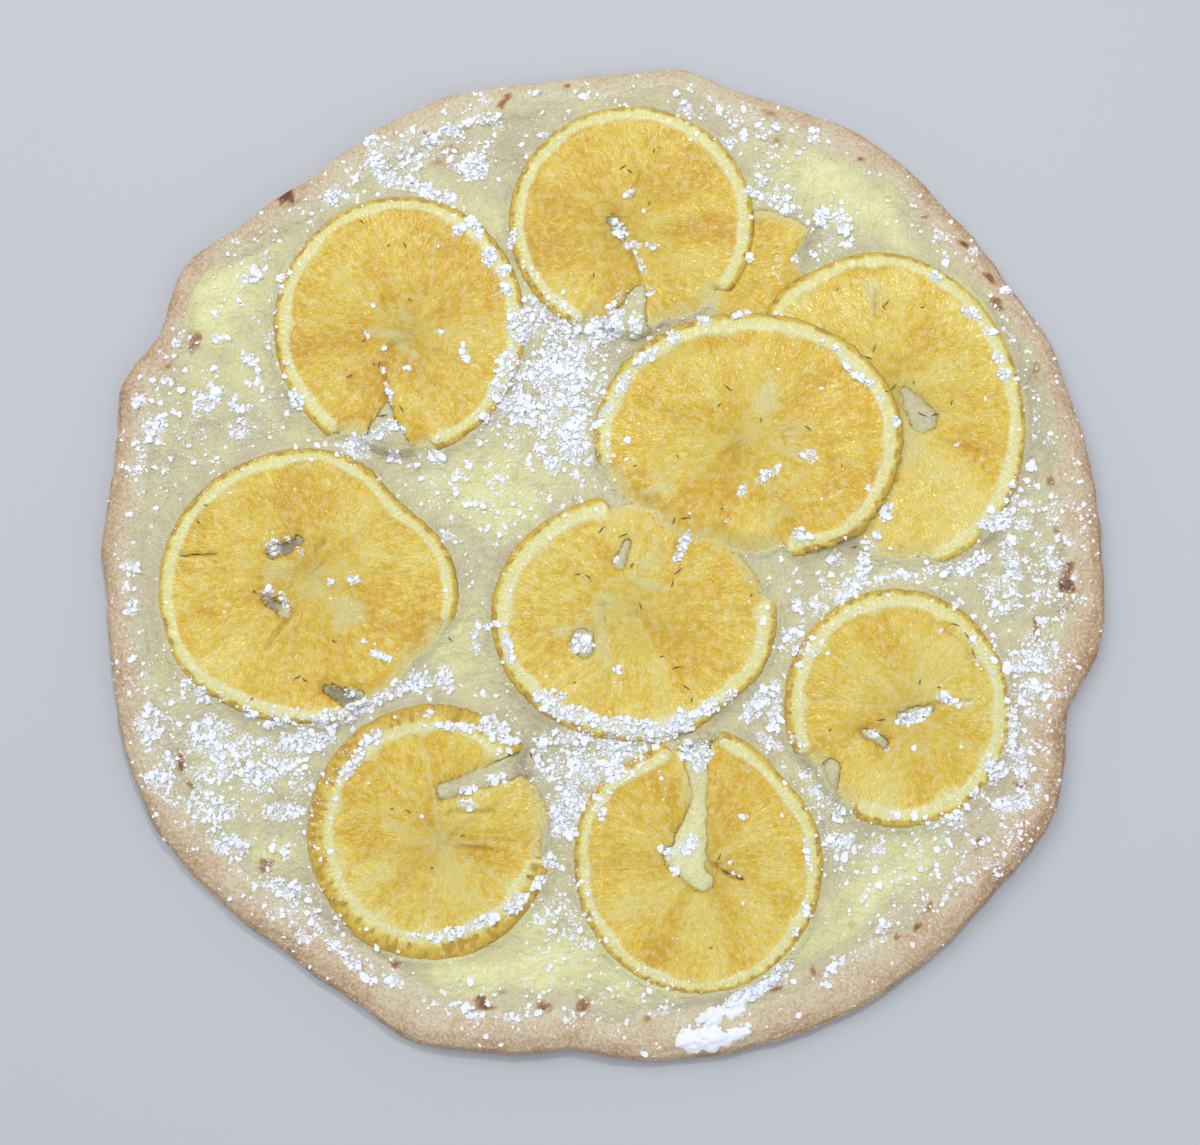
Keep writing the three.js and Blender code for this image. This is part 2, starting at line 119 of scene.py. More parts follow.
# %% [markdown]
# ## Uneven surfaces
#
# Baked food is lumpy at every size. Blender has noise textures for that, but a shape that shows has to
# be in the mesh, so a small noise function works on all the vertices of a mesh at once. It gives each
# point of a grid a fixed value and blends between them, and two or three sizes of it are laid over each
# other. The same helpers read and write a mesh's vertices as one array, which is quick.

# %% Noise and vertex arrays


def grid_value(column, row, seed):
    """A fixed value from -1 to 1 for each whole-numbered grid point."""
    mixed = (column * 374761393 + row * 668265263 + seed * 974634777) & 0xFFFFFFFF
    mixed = ((mixed ^ (mixed >> 13)) * 1274126177) & 0xFFFFFFFF
    return ((mixed ^ (mixed >> 16)) & 0xFFFF) / 32767.5 - 1


def lumps(x, y, size, seed, cells=2**30):
    """Smooth noise from -1 to 1 whose bumps are about one size across. It repeats after some cells of x."""
    column, row = np.floor(x / size).astype(np.int64), np.floor(y / size).astype(np.int64)
    right, up = smoothstep(x / size - column, 0, 1), smoothstep(y / size - row, 0, 1)
    here, after = column % cells, (column + 1) % cells
    low = (1 - right) * grid_value(here, row, seed) + right * grid_value(after, row, seed)
    high = (1 - right) * grid_value(here, row + 1, seed) + right * grid_value(after, row + 1, seed)
    return (1 - up) * low + up * high


def spoke_lumps(direction, reach, cells, length, seed):
    """Noise about a middle: a number of cells round the turn, each so long from the middle out."""
    return lumps(direction * cells / 360, reach / length, 1.0, seed, cells)


def rough(x, y, size, seed, layers=3):
    """Layers of lumps, each half the size and height of the one before."""
    turned = [(x, y), (0.8 * x + 0.6 * y, 0.8 * y - 0.6 * x), (0.6 * x - 0.8 * y, 0.6 * y + 0.8 * x)]
    total = np.zeros_like(x)
    for i in range(layers):
        across, along = turned[i % len(turned)]
        total += lumps(across, along, size / 2**i, seed + i) / 2**i
    return total


def read_points(mesh):
    flat = np.empty(3 * len(mesh.vertices))
    mesh.vertices.foreach_get("co", flat)
    return flat.reshape(-1, 3)


def read_normals(mesh):
    flat = np.empty(3 * len(mesh.vertices), dtype=np.float32)
    mesh.vertex_normals.foreach_get("vector", flat)
    return flat.reshape(-1, 3).astype(float)


def write_points(mesh, x, y, z):
    mesh.vertices.foreach_set("co", np.column_stack((x, y, z)).ravel())
    mesh.update()


def paint(mesh, name, values):
    """Keeps one number, or one vector, for each vertex for the material to read."""
    kind = "FLOAT" if values.ndim == 1 else "FLOAT_VECTOR"
    layer = mesh.attributes.new(name, kind, "POINT")
    layer.data.foreach_set("value" if kind == "FLOAT" else "vector", values.astype(np.float32).ravel())


print("noise at one place:", round(float(lumps(np.array([3.3]), np.array([1.2]), 2.0, 5)[0]), 3))

# %% [markdown]
# ## Colour and material helpers
#
# Colours are picked as sRGB hex values, the way an image editor shows them, and one function turns them
# to the linear values that Blender's shaders work in. Materials could be drawn in the node editor, but a
# script is easier to follow from top to bottom, so one small function adds a node with its settings and
# links and gives back an output. A noise texture's scale is the number of its cells in a metre, so it is
# worked out from the size in millimetres that the real pattern has.

# %% Colour and node helpers
MATH = "ShaderNodeMath"  # MULTIPLY_ADD gives the first input times the second plus the third
RANGE = "ShaderNodeMapRange"  # inputs: a value, two ends of its range, the two ends they turn to
MIX = "ShaderNodeMix"  # for colours, input 0 is the share of colour 7 in colour 6, and output 2 the mix
RAMP = "ShaderNodeValToRGB"
NOISE = "ShaderNodeTexNoise"
BUMP = "ShaderNodeBump"
PLACE = "ShaderNodeTexCoord"
PAINTED = "ShaderNodeAttribute"


def colour(code):
    parts = [int(code[i:i + 2], 16) / 255 for i in (1, 3, 5)]
    return [part / 12.92 if part <= 0.04045 else ((part + 0.055) / 1.055) ** 2.4 for part in parts] + [1.0]


def scale_of(millimetres):
    """The scale of a noise whose bumps are so wide."""
    return 1000 / millimetres


def new_material(name):
    material = bpy.data.materials.new(name)
    material.use_nodes = True
    tree = material.node_tree
    return material, tree, tree.nodes["Principled BSDF"]


def add(tree, kind, inputs=(), output=0, stops=(), **settings):
    """Adds a node. An input takes a value, a hex colour or another node's output, which is then linked."""
    node = tree.nodes.new(kind)
    for key, value in settings.items():
        setattr(node, key, value)
    while stops and len(node.color_ramp.elements) < len(stops):
        node.color_ramp.elements.new(0.5)
    for i, (place, code) in enumerate(stops):
        node.color_ramp.elements[i].position = place
        node.color_ramp.elements[i].color = colour(code)
    for key, value in inputs.items() if isinstance(inputs, dict) else enumerate(inputs):
        if isinstance(value, bpy.types.NodeSocket):
            tree.links.new(value, node.inputs[key])
        else:
            node.inputs[key].default_value = colour(value) if isinstance(value, str) else value
    return node.outputs[output]


print("custard in linear light:", [round(part, 2) for part in colour("#dedaa8")[:3]])

# %% [markdown]
# ### Sugar too fine to model
#
# Between the grains lies dust that no mesh can hold. It could be a second layer of tiny grains, but that
# would be millions of them, so every material on the pizza ends with a film: white specks of half a
# millimetre, which is wider than real dust so that they show, and more of them where more sugar fell.

# %% Film of sugar


def with_sugar_film(tree, base):
    place = add(tree, PLACE, output="Object")
    sugar = add(tree, PAINTED, output="Fac", attribute_name="sugar")
    specks = add(tree, NOISE, {"Vector": place, "Scale": scale_of(0.588), "Detail": 2.0})
    drifts = add(tree, NOISE, {"Vector": place, "Scale": scale_of(3.03), "Detail": 2.0})
    uneven = add(tree, MATH, [drifts, 0.4, specks], operation="MULTIPLY_ADD")
    total = add(tree, MATH, [sugar, 0.36, uneven], operation="MULTIPLY_ADD")
    share = add(tree, RANGE, [total, 0.9, 1.03, 0.0, 0.92])
    return add(tree, MIX, {0: share, 6: base, 7: "#edf1f8"}, 2, data_type="RGBA")


print("specks in a metre:", round(scale_of(0.588)))

# %% [markdown]
# ## The orange slices, as data
#
# On the real pizza no two slices are alike, so each has a row of its own facts, and one function makes
# them all. A slice is an ellipse that is pulled in or out by waves, as the dough is. Over its bare
# stretch the rind has come away. A tear runs between two rounded ends and goes right through, and a
# crack is a bent line in the skin. The core is where the segments meet, which is seldom the middle of a
# hand-cut slice. Peel and pith are the two widths of the rind, walls says how clearly the skins between
# the segments show, bite how far the pith runs in between them, and light how pale the flesh is. The
# scrap is what shows of a tenth slice under three others, so it is cut by them.

# %% Orange slices
SLICES = {
    "scrap": dict(
        at=(50, 82), radii=(17, 17), bare=(0, 360), core=(-24, 2), segments=11, walls=0.1, bite=0,
        edge=[(-120, 22), (-50, 15.6), (14, 8.2), (40, 11), (49, 18), (67, 18.5), (137, 22), (180, 18)],
        under=("top", "upper_right", "centre_right"), thick=2.0,
        tears=[], cracks=[],
    ),
    "top": dict(
        at=(8.9, 97.3), radii=(36.4, 35.9), bare=(244, 322), core=(-2, -3), segments=11, walls=0.15, bite=0.6,
        tears=[(-5.4, 0.4, 2.2, -2.8, -4.8, 1.3), (2.4, -21, 2.3, -3.4, -37.3, 8.1)],
        cracks=[((-2.8, -4.8), (1, -12), (3.4, -21)), ((0.5, 19.8), (2.6, 14.2), (0.2, 7.5))],
    ),
    "upper_left": dict(
        at=(-59.1, 65.9), radii=(37, 39.5), bare=(240, 285), core=(3, -2), segments=10, walls=0.4, bite=1.2,
        light=-0.15,
        tears=[(-3.6, -24, 1.4, -3.9, -40.7, 10)],
        cracks=[((-4.6, -12), (-4, -17), (-3.2, -24)), ((-5, 8), (-3, 1)), ((-3, -6), (4, -3))],
    ),
    "left": dict(
        at=(-84.1, -10.5), radii=(43.5, 40.2), bare=(290, 345), core=(2, 4), segments=10, walls=0.25,
        bite=0.8,
        waves=[(42, -6.2, 26), (215, 1.4, 14)],
        tears=[
            (-10.4, 9.4, 2, -3.6, 12.4, 1.9), (-13.3, -3.6, 1.2, -7.2, -7.3, 2.6),
            (6, -30, 1.6, 13.5, -33, 3.2),
        ],
        cracks=[((1.7, 9.7), (4.5, 12.6)), ((-37, 8.6), (-26, 8.6)), ((-6, -10), (-12, -19))],
    ),
    "bottom_left": dict(
        at=(-48.1, -80.7), radii=(35, 36), bare=(346, 400), core=(3, -3), segments=11, walls=0.7, bite=2.2,
        peel=5.0, pith=2.4, waves=[(5, 2.5, 10)], light=0.2,
        tears=[(3.5, 11, 2.4, 27.2, 19.6, 3.4)],
        cracks=[((5.3, 5.5), (18, 5.5)), ((8, -4), (17, -5))],
    ),
    "bottom": dict(
        at=(27.3, -88.5), radii=(35.3, 37.5), bare=(80, 104), core=(1, -2), segments=10, walls=0.3, bite=1.0,
        waves=[(117, -3.6, 20), (46, -2.6, 22)], light=0.15,
        tears=[(-5.8, 0.5, 4.4, 1.2, -6, 3.2), (-2.4, 2.7, 5.4, 0.6, 16, 2), (0.6, 15, 1.6, -0.6, 34, 4.4)],
        cracks=[((4, -1), (7, -3.6), (12, -5.5))],
    ),
    "lower_right": dict(
        at=(84.4, -45.6), radii=(32.4, 34.1), bare=(206, 246), core=(3, 0), segments=10, walls=0.6, bite=2.2,
        peel=2.0, pith=3.0, light=0.35,
        tears=[
            (-18.8, -16.8, 2.3, -24, -24.8, 6.9), (1, -2.8, 1.3, 9.1, -0.3, 1.6),
            (-9.2, -7.4, 1.6, -3.6, -10.4, 1.3),
        ],
        cracks=[((9.1, 0), (14, 1.8), (20, 1.6)), ((14, 22), (19, 19), (21.5, 13), (22.5, 8))],
    ),
    "upper_right": dict(
        at=(85.3, 41.3), radii=(38, 47.5), turn=12, bare=(225, 283), core=(1, 3), segments=11, walls=0.2,
        bite=1.0, pith=3.2, waves=[(138, 4, 16)], light=0.2,
        tears=[(3.6, 4.6, 2.2, 8.4, -3.2, 4.2), (25, -36, 1.5, 31, -42, 5)],
        cracks=[((13, -10), (21, -12), (28, -14)), ((-4.7, 34), (-4.8, 28))],
    ),
    "centre": dict(
        at=(9.3, -19.8), radii=(41.2, 35.7), bare=(7, 103), core=(0, 2), segments=10, walls=0.25, bite=1.4,
        pith=3.4, waves=[(318, -1.8, 14)], light=0.2,
        tears=[(-1.7, 21.6, 1.4, -4.4, 15.4, 1.8), (-14.9, -6.2, 3.3, -14.3, -8.6, 3)],
        cracks=[((12, 22), (13, 16)), ((-9, 4), (-8, -3))],
    ),
    "centre_right": dict(
        at=(42.3, 32.5), radii=(44.7, 36.8), bare=(191, 289), core=(-2, -1), segments=11, walls=0.15,
        bite=1.2,
        pith=3.2, light=0.1, waves=[(318, 2, 14)], over=("top", "upper_right", "centre"),
        tears=[],
        cracks=[((24, -6), (25, -13))],
    ),
}
PEEL, PITH = 1.9, 2.6  # widths of the rind where a slice doesn't give its own
RIND_WIDTH = 4.6  # how far a slice draws in where its rind has come away
SCALLOP = 2.2  # how far the segments bulge out again there
SCALLOPS = 10
PALE_PULP = [  # custard and torn skin that show as pale spots in the flesh, laid out as the pools are
    (-62, 63.5, 5, 2.4, -20, 0.9), (-56, 57, 2.6, 5, 15, 0.7), (-57.5, 70, 3, 4.5, 25, 0.6),
    (-73, -19, 4.4, 5, 20, 1.0), (-92, -7, 5.5, 4, 15, 0.6), (-83, -11, 4, 6, -20, 0.6),
    (0, -16, 5, 3, 30, 0.7), (0, -25, 2.6, 10, 0, 0.9), (48, 44, 3.0, 5.5, -10, 1.0),
    (55, 34, 7, 3, -15, 0.5), (80, 75, 2.6, 5, 8, 1.0), (88, 35, 4.5, 7, 15, 0.6),
    (11, -4, 9, 2, -10, 0.6), (16, 0, 3, 7, 15, 0.5), (30, 3, 9, 2.5, 10, 0.5), (17, 21, 7, 3, 15, 0.5),
    (10, 13, 12, 3.5, 20, 0.45), (27, 21, 5, 2, 25, 0.5), (52, 10, 6, 3, -20, 0.5),
    (44, -6, 7, 3, 35, 0.4), (-27, -66, 9, 3, 18, 0.7), (25, -68, 2.2, 7, 0, 0.8),
    (52, 18, 7, 2.4, 20, 0.5), (28, -92, 4, 5, 0, 0.5), (-44, -92, 2, 6, -15, 0.35),
    (-60, -90, 5, 2.5, 30, 0.3), (93, -30, 3, 6, 10, 0.25), (-40, 66, 6, 2.5, 30, 0.35),
    (2.5, -15, 3.4, 1.5, -45, 1.0), (-9, -24, 8, 1.2, 5, 0.95), (13.4, -2, 4, 1.2, 50, 1.0),
    (12.5, -9.8, 7, 1.1, -15, 1.0), (15.8, 16.6, 5, 1.6, 20, 1.0), (-0.5, -20, 1.2, 5, 20, 0.9),
    (57, 27, 7, 1.6, -15, 0.9), (88, 30, 4, 6, 10, 0.8),
]

widest = max(max(fruit["radii"]) for fruit in SLICES.values())
print(len(SLICES), "slices, the widest", round(2 * widest), "mm")

# %% [markdown]
# ### Asking a slice about a place
#
# The cream, the sugar and the slices themselves all ask the same questions: how far a place is from a
# slice's edge, from its nearest tear or from a crack. The answers are distances in millimetres for a
# whole array of places at once. A mesh could be searched for them, but the facts above give them at once.

# %% Distances from a slice
FAR = 99.0  # stands for no tear, crack or slice at all
NOT_IN = -9.0  # stands for a depth where there is none


def bareness(fruit, direction):
    """1 where the rind has come away, 0 where it is still there."""
    start, end = fruit["bare"]
    off = np.abs(apart(direction, (start + end) / 2))
    return 1 - smoothstep(off, (end - start) / 2 - 3, (end - start) / 2 + 3)


def slice_radius(fruit, direction):
    if "edge" in fruit:
        at, reach = zip(*fruit["edge"])
        return np.interp(direction, at, reach, period=360)
    angle = np.radians(direction - fruit.get("turn", 0))
    across, along = fruit["radii"]
    ellipse = 1 / np.hypot(np.cos(angle) / across, np.sin(angle) / along)
    lost = RIND_WIDTH - SCALLOP * np.abs(np.sin(np.radians(direction * SCALLOPS) / 2))
    return ellipse + wave_sum(fruit.get("waves", []), direction) - bareness(fruit, direction) * lost


def outside(fruit, x, y):
    """Distance outside a slice's edge, less than nought inside it."""
    dx, dy = x - fruit["at"][0], y - fruit["at"][1]
    return np.hypot(dx, dy) - slice_radius(fruit, direction_of(dx, dy))


def lift_at(fruit, x, y):
    """How far a slice is raised by the slices that it lies on."""
    lift = np.zeros_like(x)
    for name in fruit.get("over", ()):
        lift = np.maximum(lift, STEP * (1 - smoothstep(outside(SLICES[name], x, y), 2, 14)))
    return lift


def capsule_distance(x, y, x0, y0, end0, x1, y1, end1):
    run_x, run_y = x1 - x0, y1 - y0
    share = np.clip(((x - x0) * run_x + (y - y0) * run_y) / (run_x**2 + run_y**2), 0, 1)
    return np.hypot(x - x0 - share * run_x, y - y0 - share * run_y) - (end0 + (end1 - end0) * share)


def outside_tears(fruit, x, y):
    """Distance outside the nearest tear, from a place measured from the slice's middle."""
    nearest = np.full_like(x, FAR)
    for x0, y0, end0, x1, y1, end1 in fruit["tears"]:
        nearest = np.minimum(nearest, capsule_distance(x, y, x0, y0, end0, x1, y1, end1))
    nearest += 0.55 * lumps(x, y, 2.6, 61) + 0.3 * lumps(x, y, 1.1, 62)
    for name in fruit.get("under", ()):
        nearest = np.minimum(nearest, outside(SLICES[name], x + fruit["at"][0], y + fruit["at"][1]) + 0.4)
    return nearest


def crack_distance(fruit, x, y):
    nearest = np.full_like(x, FAR)
    for crack in fruit["cracks"]:
        for (x0, y0), (x1, y1) in zip(crack, crack[1:]):
            nearest = np.minimum(nearest, capsule_distance(x, y, x0, y0, 0.2, x1, y1, 0.2))
    return nearest + 0.3 * lumps(x, y, 1.6, 63)


def near_slices(x, y):
    nearest = np.full_like(x, FAR)
    for fruit in SLICES.values():
        nearest = np.minimum(nearest, outside(fruit, x, y))
    return nearest


print("the middle lies", round(float(near_slices(np.zeros(1), np.zeros(1))[0]), 1), "mm from a slice's edge")

# %% [markdown]
# ## The icing sugar, as data
#
# Icing sugar falls from a sieve in drifts and flakes. It could be strewn evenly, but then the pizza
# would look like any other, so the places where it lies are kept. A patch is an ellipse with its middle,
# two half-widths, turn in degrees and the share of the ground it covers. Wide patches fade out to all
# sides and give the general dusting. Flakes have firm edges and give the drifts that catch the eye.

# %% Sugar patches
DUSTING = [
    (-57, 117, 22, 9, 30, 0.3), (-36, 118, 9, 14, 0, 0.15), (-90, 100, 12, 4, 40, 0.12),
    (-118, 58, 10, 8, 0, 0.1), (-112, 38, 16, 11, 0, 0.24), (-132, 26, 7, 14, 0, 0.33),
    (-136, -5, 5, 18, 0, 0.12), (-133, -35, 5, 8, -30, 0.3), (-108, -62, 26, 16, 0, 0.42),
    (-118, -50, 14, 10, 0, 0.3), (-104, -88, 12, 8, -40, 0.25), (-85, -103, 16, 7, -40, 0.28),
    (-60, -120, 14, 4, -30, 0.2), (-25, -129, 24, 5, -5, 0.18), (8, -127, 16, 9, 0, 0.18),
    (-10, -108, 11, 14, 0, 0.24), (-5, -63, 14, 12, 0, 0.45), (-14, 45, 16, 26, 0, 0.62),
    (-42, 20, 16, 10, 0, 0.15), (-30, 10, 10, 10, 0, 0.18), (-68, 30, 10, 6, 0, 0.2),
    (40, 128, 26, 8, -15, 0.12), (52, 110, 12, 10, 0, 0.14), (70, 97, 10, 6, 0, 0.25),
    (103, 92, 12, 8, -40, 0.06), (122, 60, 4, 18, 15, 0.1), (130, 35, 6, 14, 0, 0.14),
    (128, 5, 12, 14, 0, 0.26), (126, -25, 13, 26, 0, 0.22), (124, -60, 14, 20, 20, 0.33),
    (105, -85, 24, 12, 30, 0.24), (136, -20, 5, 34, 5, 0.14), (118, -78, 6, 20, -35, 0.12),
    (75, -90, 14, 10, 0, 0.2), (80, -108, 18, 5, 30, 0.16), (62, -70, 8, 14, 0, 0.2),
    (60, -22, 12, 14, 45, 0.28), (5, 138, 20, 4, 0, 0.06), (60, -122, 10, 4, 25, 0.08),
    (-102, 78, 8, 14, 20, 0.1), (85, -8, 30, 4, 0, 0.2),
]
FLAKES = [
    (-66, 114, 6, 3, -45, 0.85), (-51, 107, 10, 2.6, -20, 0.8), (-38, 115, 5, 4, 0, 0.9),
    (-62, 118, 7, 4, 0, 0.6), (-52, 122, 2.6, 4, 0, 0.6), (-44, 125, 5, 2.6, 0, 0.55),
    (-34, 128, 5, 3.4, 0, 0.55), (-34, 135, 2.4, 2.2, 0, 0.7), (-79, 106, 4, 3, 40, 0.7),
    (-68, 122, 2, 2.6, 0, 0.8), (-42, 95, 3, 1.5, 60, 0.95), (-37, 95, 4, 1.5, -60, 0.95),
    (-33, 86, 2.6, 2.8, 0, 0.95), (-29, 82, 2.2, 1.5, 0, 1.0), (-26, 92, 3, 1.4, 70, 0.95),
    (-28, 76, 2.4, 1.8, -40, 0.9), (-24, 66, 3.6, 7, 0, 0.85), (-27, 53, 3.6, 6, 0, 0.7),
    (-24, 42, 6, 6, 0, 0.85), (-12, 50, 8, 10, 0, 0.82), (-5, 58, 6, 5, 0, 0.6),
    (-8, 33, 4.6, 8, 0, 0.85), (-14, 25, 4, 3.4, 0, 0.7), (-24, 28, 6, 5, 0, 0.5),
    (-30, 46, 3, 3, 0, 0.9), (-35, 38, 2.4, 2, 30, 0.7), (-13, 67, 9, 2, -42, 0.85),
    (2, 65, 5, 4, 0, 0.9), (5, 72, 5, 3, 60, 0.4), (10, 66, 2, 5, 0, 0.6), (12, 76, 3, 3.4, 0, 0.35),
    (5, 95, 3, 1.2, -60, 0.9), (9, 90, 3.2, 1.1, 0, 0.9), (15, 89.6, 2, 0.8, 0, 0.8),
    (12, 83.5, 4.4, 1, -62, 0.9), (8.6, 106, 3.2, 0.9, 60, 0.85), (1, 40, 3.4, 1.4, 40, 0.9),
    (6, 48, 4.8, 2, 62, 0.95), (13, 56, 4.5, 1.7, 32, 0.95), (21, 62, 2.2, 2.7, 0, 1.0),
    (30, 67, 2, 1.9, 0, 0.95), (41, 69, 2.6, 1.7, 0, 0.95), (50, 69, 4, 0.7, -4, 0.5),
    (64.5, 60, 1.2, 0.7, 0, 0.9), (68, 57.6, 1.6, 0.8, 0, 0.9), (70, 54, 2.6, 0.8, -62, 0.95),
    (75, 49, 5.6, 1.1, -30, 0.95), (81, 43, 1.1, 1, 0, 0.9), (98, 80, 2.2, 1.4, -45, 1.0),
    (108, 69, 3.2, 1.7, -30, 1.0), (112.6, 64, 1.4, 1, -50, 0.9), (115.5, 56, 1.8, 1.4, -50, 0.8),
    (117, 51, 1.7, 2.1, 0, 0.95), (85, 36.5, 1.5, 1.8, 0, 0.8), (60, 26, 2, 2.5, 0, 0.65),
    (41, 17, 1.5, 2.1, -25, 0.95), (47, 20.5, 4.4, 1.5, 32, 0.85), (36, 7.5, 1.2, 0.6, 0, 0.9),
    (56, 4, 1.6, 2, 0, 0.8), (59, 3, 1.4, 1.2, 0, 0.8), (23, 0, 5, 1.4, 65, 0.8),
    (25.6, 132, 1.5, 3, 0, 0.9), (35, 131, 1.2, 1.8, 0, 0.9), (30, 129, 1.3, 1, 0, 0.9),
    (38, 122, 3, 2, 20, 0.85), (42, 124, 1, 2, 0, 0.7), (52, 127, 1.3, 1.2, 0, 1.0),
    (63, 124, 1.7, 2.4, 0, 0.95), (58.5, 119, 2, 1, 15, 0.9), (48, 110, 1, 2, -15, 0.9),
    (44.5, 106, 3.4, 1.2, 0, 0.8), (52, 105, 4, 4, 0, 0.72), (55, 101, 2.6, 1.6, 0, 0.9),
    (65.6, 98, 2.8, 3.6, 0, 0.75), (71.5, 97, 3, 4, 0, 0.75), (73, 91, 2, 1.4, 20, 0.9),
    (65, 90, 4.6, 1.6, 28, 0.55), (51.6, 82, 1.6, 2.2, 0, 0.6), (52, 86, 1, 1, 0, 0.8),
    (57, 86, 1.2, 1.2, 0, 0.8), (100, 94, 1.6, 2, 0, 0.5), (110, 88.6, 1.4, 1.5, 0, 1.0),
    (118.5, 77, 1.2, 1.5, 0, 0.9), (120.6, 62, 1, 2, 20, 0.7), (127, 42, 2, 6, 5, 0.35),
    (125.5, 23.6, 1.8, 1.1, -20, 1.0), (114, 8, 6, 3, 10, 0.9), (122, 10, 3.6, 6, 0, 0.6),
    (118, -3, 3, 8, 10, 0.6), (131, -4, 5, 2.6, 15, 0.6), (118, -14, 8, 6, 0, 0.45),
    (121, -32, 6, 4, 0, 0.7), (131, -31, 6, 5, 0, 0.4), (125, -41, 8, 2.6, -5, 0.7),
    (117, -50, 1.8, 7, 8, 0.85), (118.5, -61, 3.6, 5, 20, 0.8), (112.5, -63, 4, 2.6, 0, 0.85),
    (116, -73, 6, 2.6, 8, 0.9), (108, -70, 4, 2.4, 30, 0.5), (106, -5, 6.4, 2.4, 30, 0.9),
    (98, -5.6, 4.4, 1.6, 10, 0.6), (85, -8, 6, 1.5, 0, 0.6), (102, -16, 2, 1.2, 30, 0.7),
    (67.5, -3, 2.6, 2.2, 10, 0.9), (76, -3, 1.5, 6.4, 0, 0.75), (78, 1.6, 4, 1.8, 60, 0.75),
    (82, 10, 3, 1.7, 60, 0.8), (71, -12, 6, 2.6, 40, 1.0), (64, -11, 3, 4, 0, 0.5),
    (62, -17, 3, 2.6, 0, 0.6), (57, -16, 2.4, 2.4, 0, 0.8), (55, -24.5, 3.5, 2.4, 5, 0.8),
    (56, -30, 1.4, 1.8, 0, 0.5), (61, -30, 1.6, 1, 45, 0.8), (44, -45.5, 6, 3, 48, 0.85),
    (49.5, -46, 1.8, 8.4, 0, 0.85), (48, -55.5, 5, 1.6, -25, 0.8), (55, -55, 1.2, 3, 25, 0.6),
    (58, -64, 2, 2.6, 0, 0.5), (62, -70.5, 4, 3, 0, 0.4), (67, -76, 1.3, 2.9, -15, 0.95),
    (67, -83.5, 5, 2.6, 0, 0.9), (75, -85.6, 6, 1.8, 0, 0.5), (85, -83, 5, 2.6, 0, 0.45),
    (98, -78, 7, 3, 0, 0.55), (83, -102, 3, 2, 0, 0.5), (76, -108, 5, 1.8, 38, 0.4),
    (65, -118, 4, 1.4, 30, 0.35), (57.6, -86, 0.8, 5, 4, 0.9), (57, -102, 1.1, 2.4, -10, 0.9),
    (54.4, -108, 1, 1.6, -20, 0.8), (42, -125, 10, 2, 25, 0.95), (49, -119.5, 5, 1.6, 32, 0.85),
    (15, -130.5, 5, 2, 0, 0.5), (5, -131, 4, 2, -10, 0.4), (24.5, -84.5, 3.6, 3.8, 0, 0.6),
    (25, -85, 2, 2, 0, 0.9), (21, -91.5, 1.2, 1.6, 0, 0.85), (18.6, -86.5, 1.2, 1.6, 0, 0.7),
    (36.4, -89.4, 1, 0.8, 0, 0.9), (40, -76.4, 1.4, 0.6, 0, 0.9), (37, -92.4, 2, 0.6, -20, 0.8),
    (27, -59.4, 4.6, 4.2, 0, 0.98), (-15, -43, 5, 2.8, 0, 0.92), (-8, -47.6, 10, 2.4, -12, 0.9),
    (4, -51, 9, 2.6, -10, 0.82), (13, -52.6, 8, 3, 0, 0.85), (22, -50, 4.4, 3.2, 20, 0.97),
    (30, -46, 5.4, 1.9, 35, 0.88), (36, -43, 2.8, 1.6, 42, 0.75), (-12, -56, 8, 3.4, 0, 0.6),
    (-8, -63, 8, 5, 0, 0.55), (0, -65, 6, 4, 30, 0.6), (3, -57, 10, 3, 0, 0.5),
    (-10, -76, 4.6, 6.6, -14, 0.97), (-14.6, -89, 2, 2.2, 0, 0.85), (-18, -95, 3, 1.7, 30, 0.92),
    (-24, -101, 5.4, 2.3, 38, 0.97), (-33, -105.4, 6, 1.7, 24, 0.9), (-43, -109, 7, 1.6, 8, 0.85),
    (-52, -109.6, 3, 0.9, 0, 0.5), (-40, -51.4, 9, 1.3, -4, 0.97), (-33, -49, 3, 2, 0, 0.6),
    (-28.5, -53, 5.6, 2.4, -22, 0.98), (-70, -61, 8, 1.6, 56, 0.92), (-65, -54.6, 3.6, 1.8, 40, 0.8),
    (-29, -66, 4, 1.9, -8, 0.85), (-38, -68.6, 2.4, 1.1, 20, 0.9), (-37.6, -73, 4, 1.4, -10, 0.88),
    (-45, -37, 3, 4.4, 5, 0.98), (-52, -38, 3.6, 3, 0, 0.7), (-49, -45, 1, 4, 0, 0.5),
    (-60, -41, 5.4, 1.9, 28, 0.62), (-67, -45, 6, 2, 25, 0.8), (-71.4, -41.6, 2.2, 1.4, 0, 0.95),
    (-75, -48.6, 6, 2.8, 15, 0.8), (-86, -49.6, 9, 1.6, 4, 0.6), (-63, -31, 2.8, 1.4, -25, 0.92),
    (-67.6, -27, 1.4, 0.6, -40, 0.8), (-100, -47, 2, 2, 0, 0.85), (-114, -42, 2, 2, -40, 0.9),
    (-118, -39, 2.6, 1.4, -40, 0.6), (-84, -55.4, 8, 3.6, 5, 0.85), (-128, -50, 4.6, 5, 0, 0.75),
    (-112, -52.6, 5, 4, 0, 0.7), (-112, -63, 7, 3.6, 10, 0.7), (-94, -63, 6, 3.6, 0, 0.6),
    (-91, -75, 7, 2.6, 0, 0.8), (-108, -75.6, 6, 3, 0, 0.75), (-126, -66, 3, 2, 0, 0.92),
    (-105, -85, 5, 3, 0, 0.7), (-89, -86, 1.4, 2, 0, 0.95), (-90, -96.4, 6, 2.6, -10, 0.6),
    (-83, -103, 4, 2.6, -30, 0.6), (-84, -110, 2.6, 1.8, -20, 0.8), (-72, -115, 6, 1.8, -40, 0.75),
    (-57, -122.6, 3.4, 1.6, -15, 0.8), (-38, -129, 5, 1, -15, 0.5), (-28, -131.6, 9, 1, -3, 0.55),
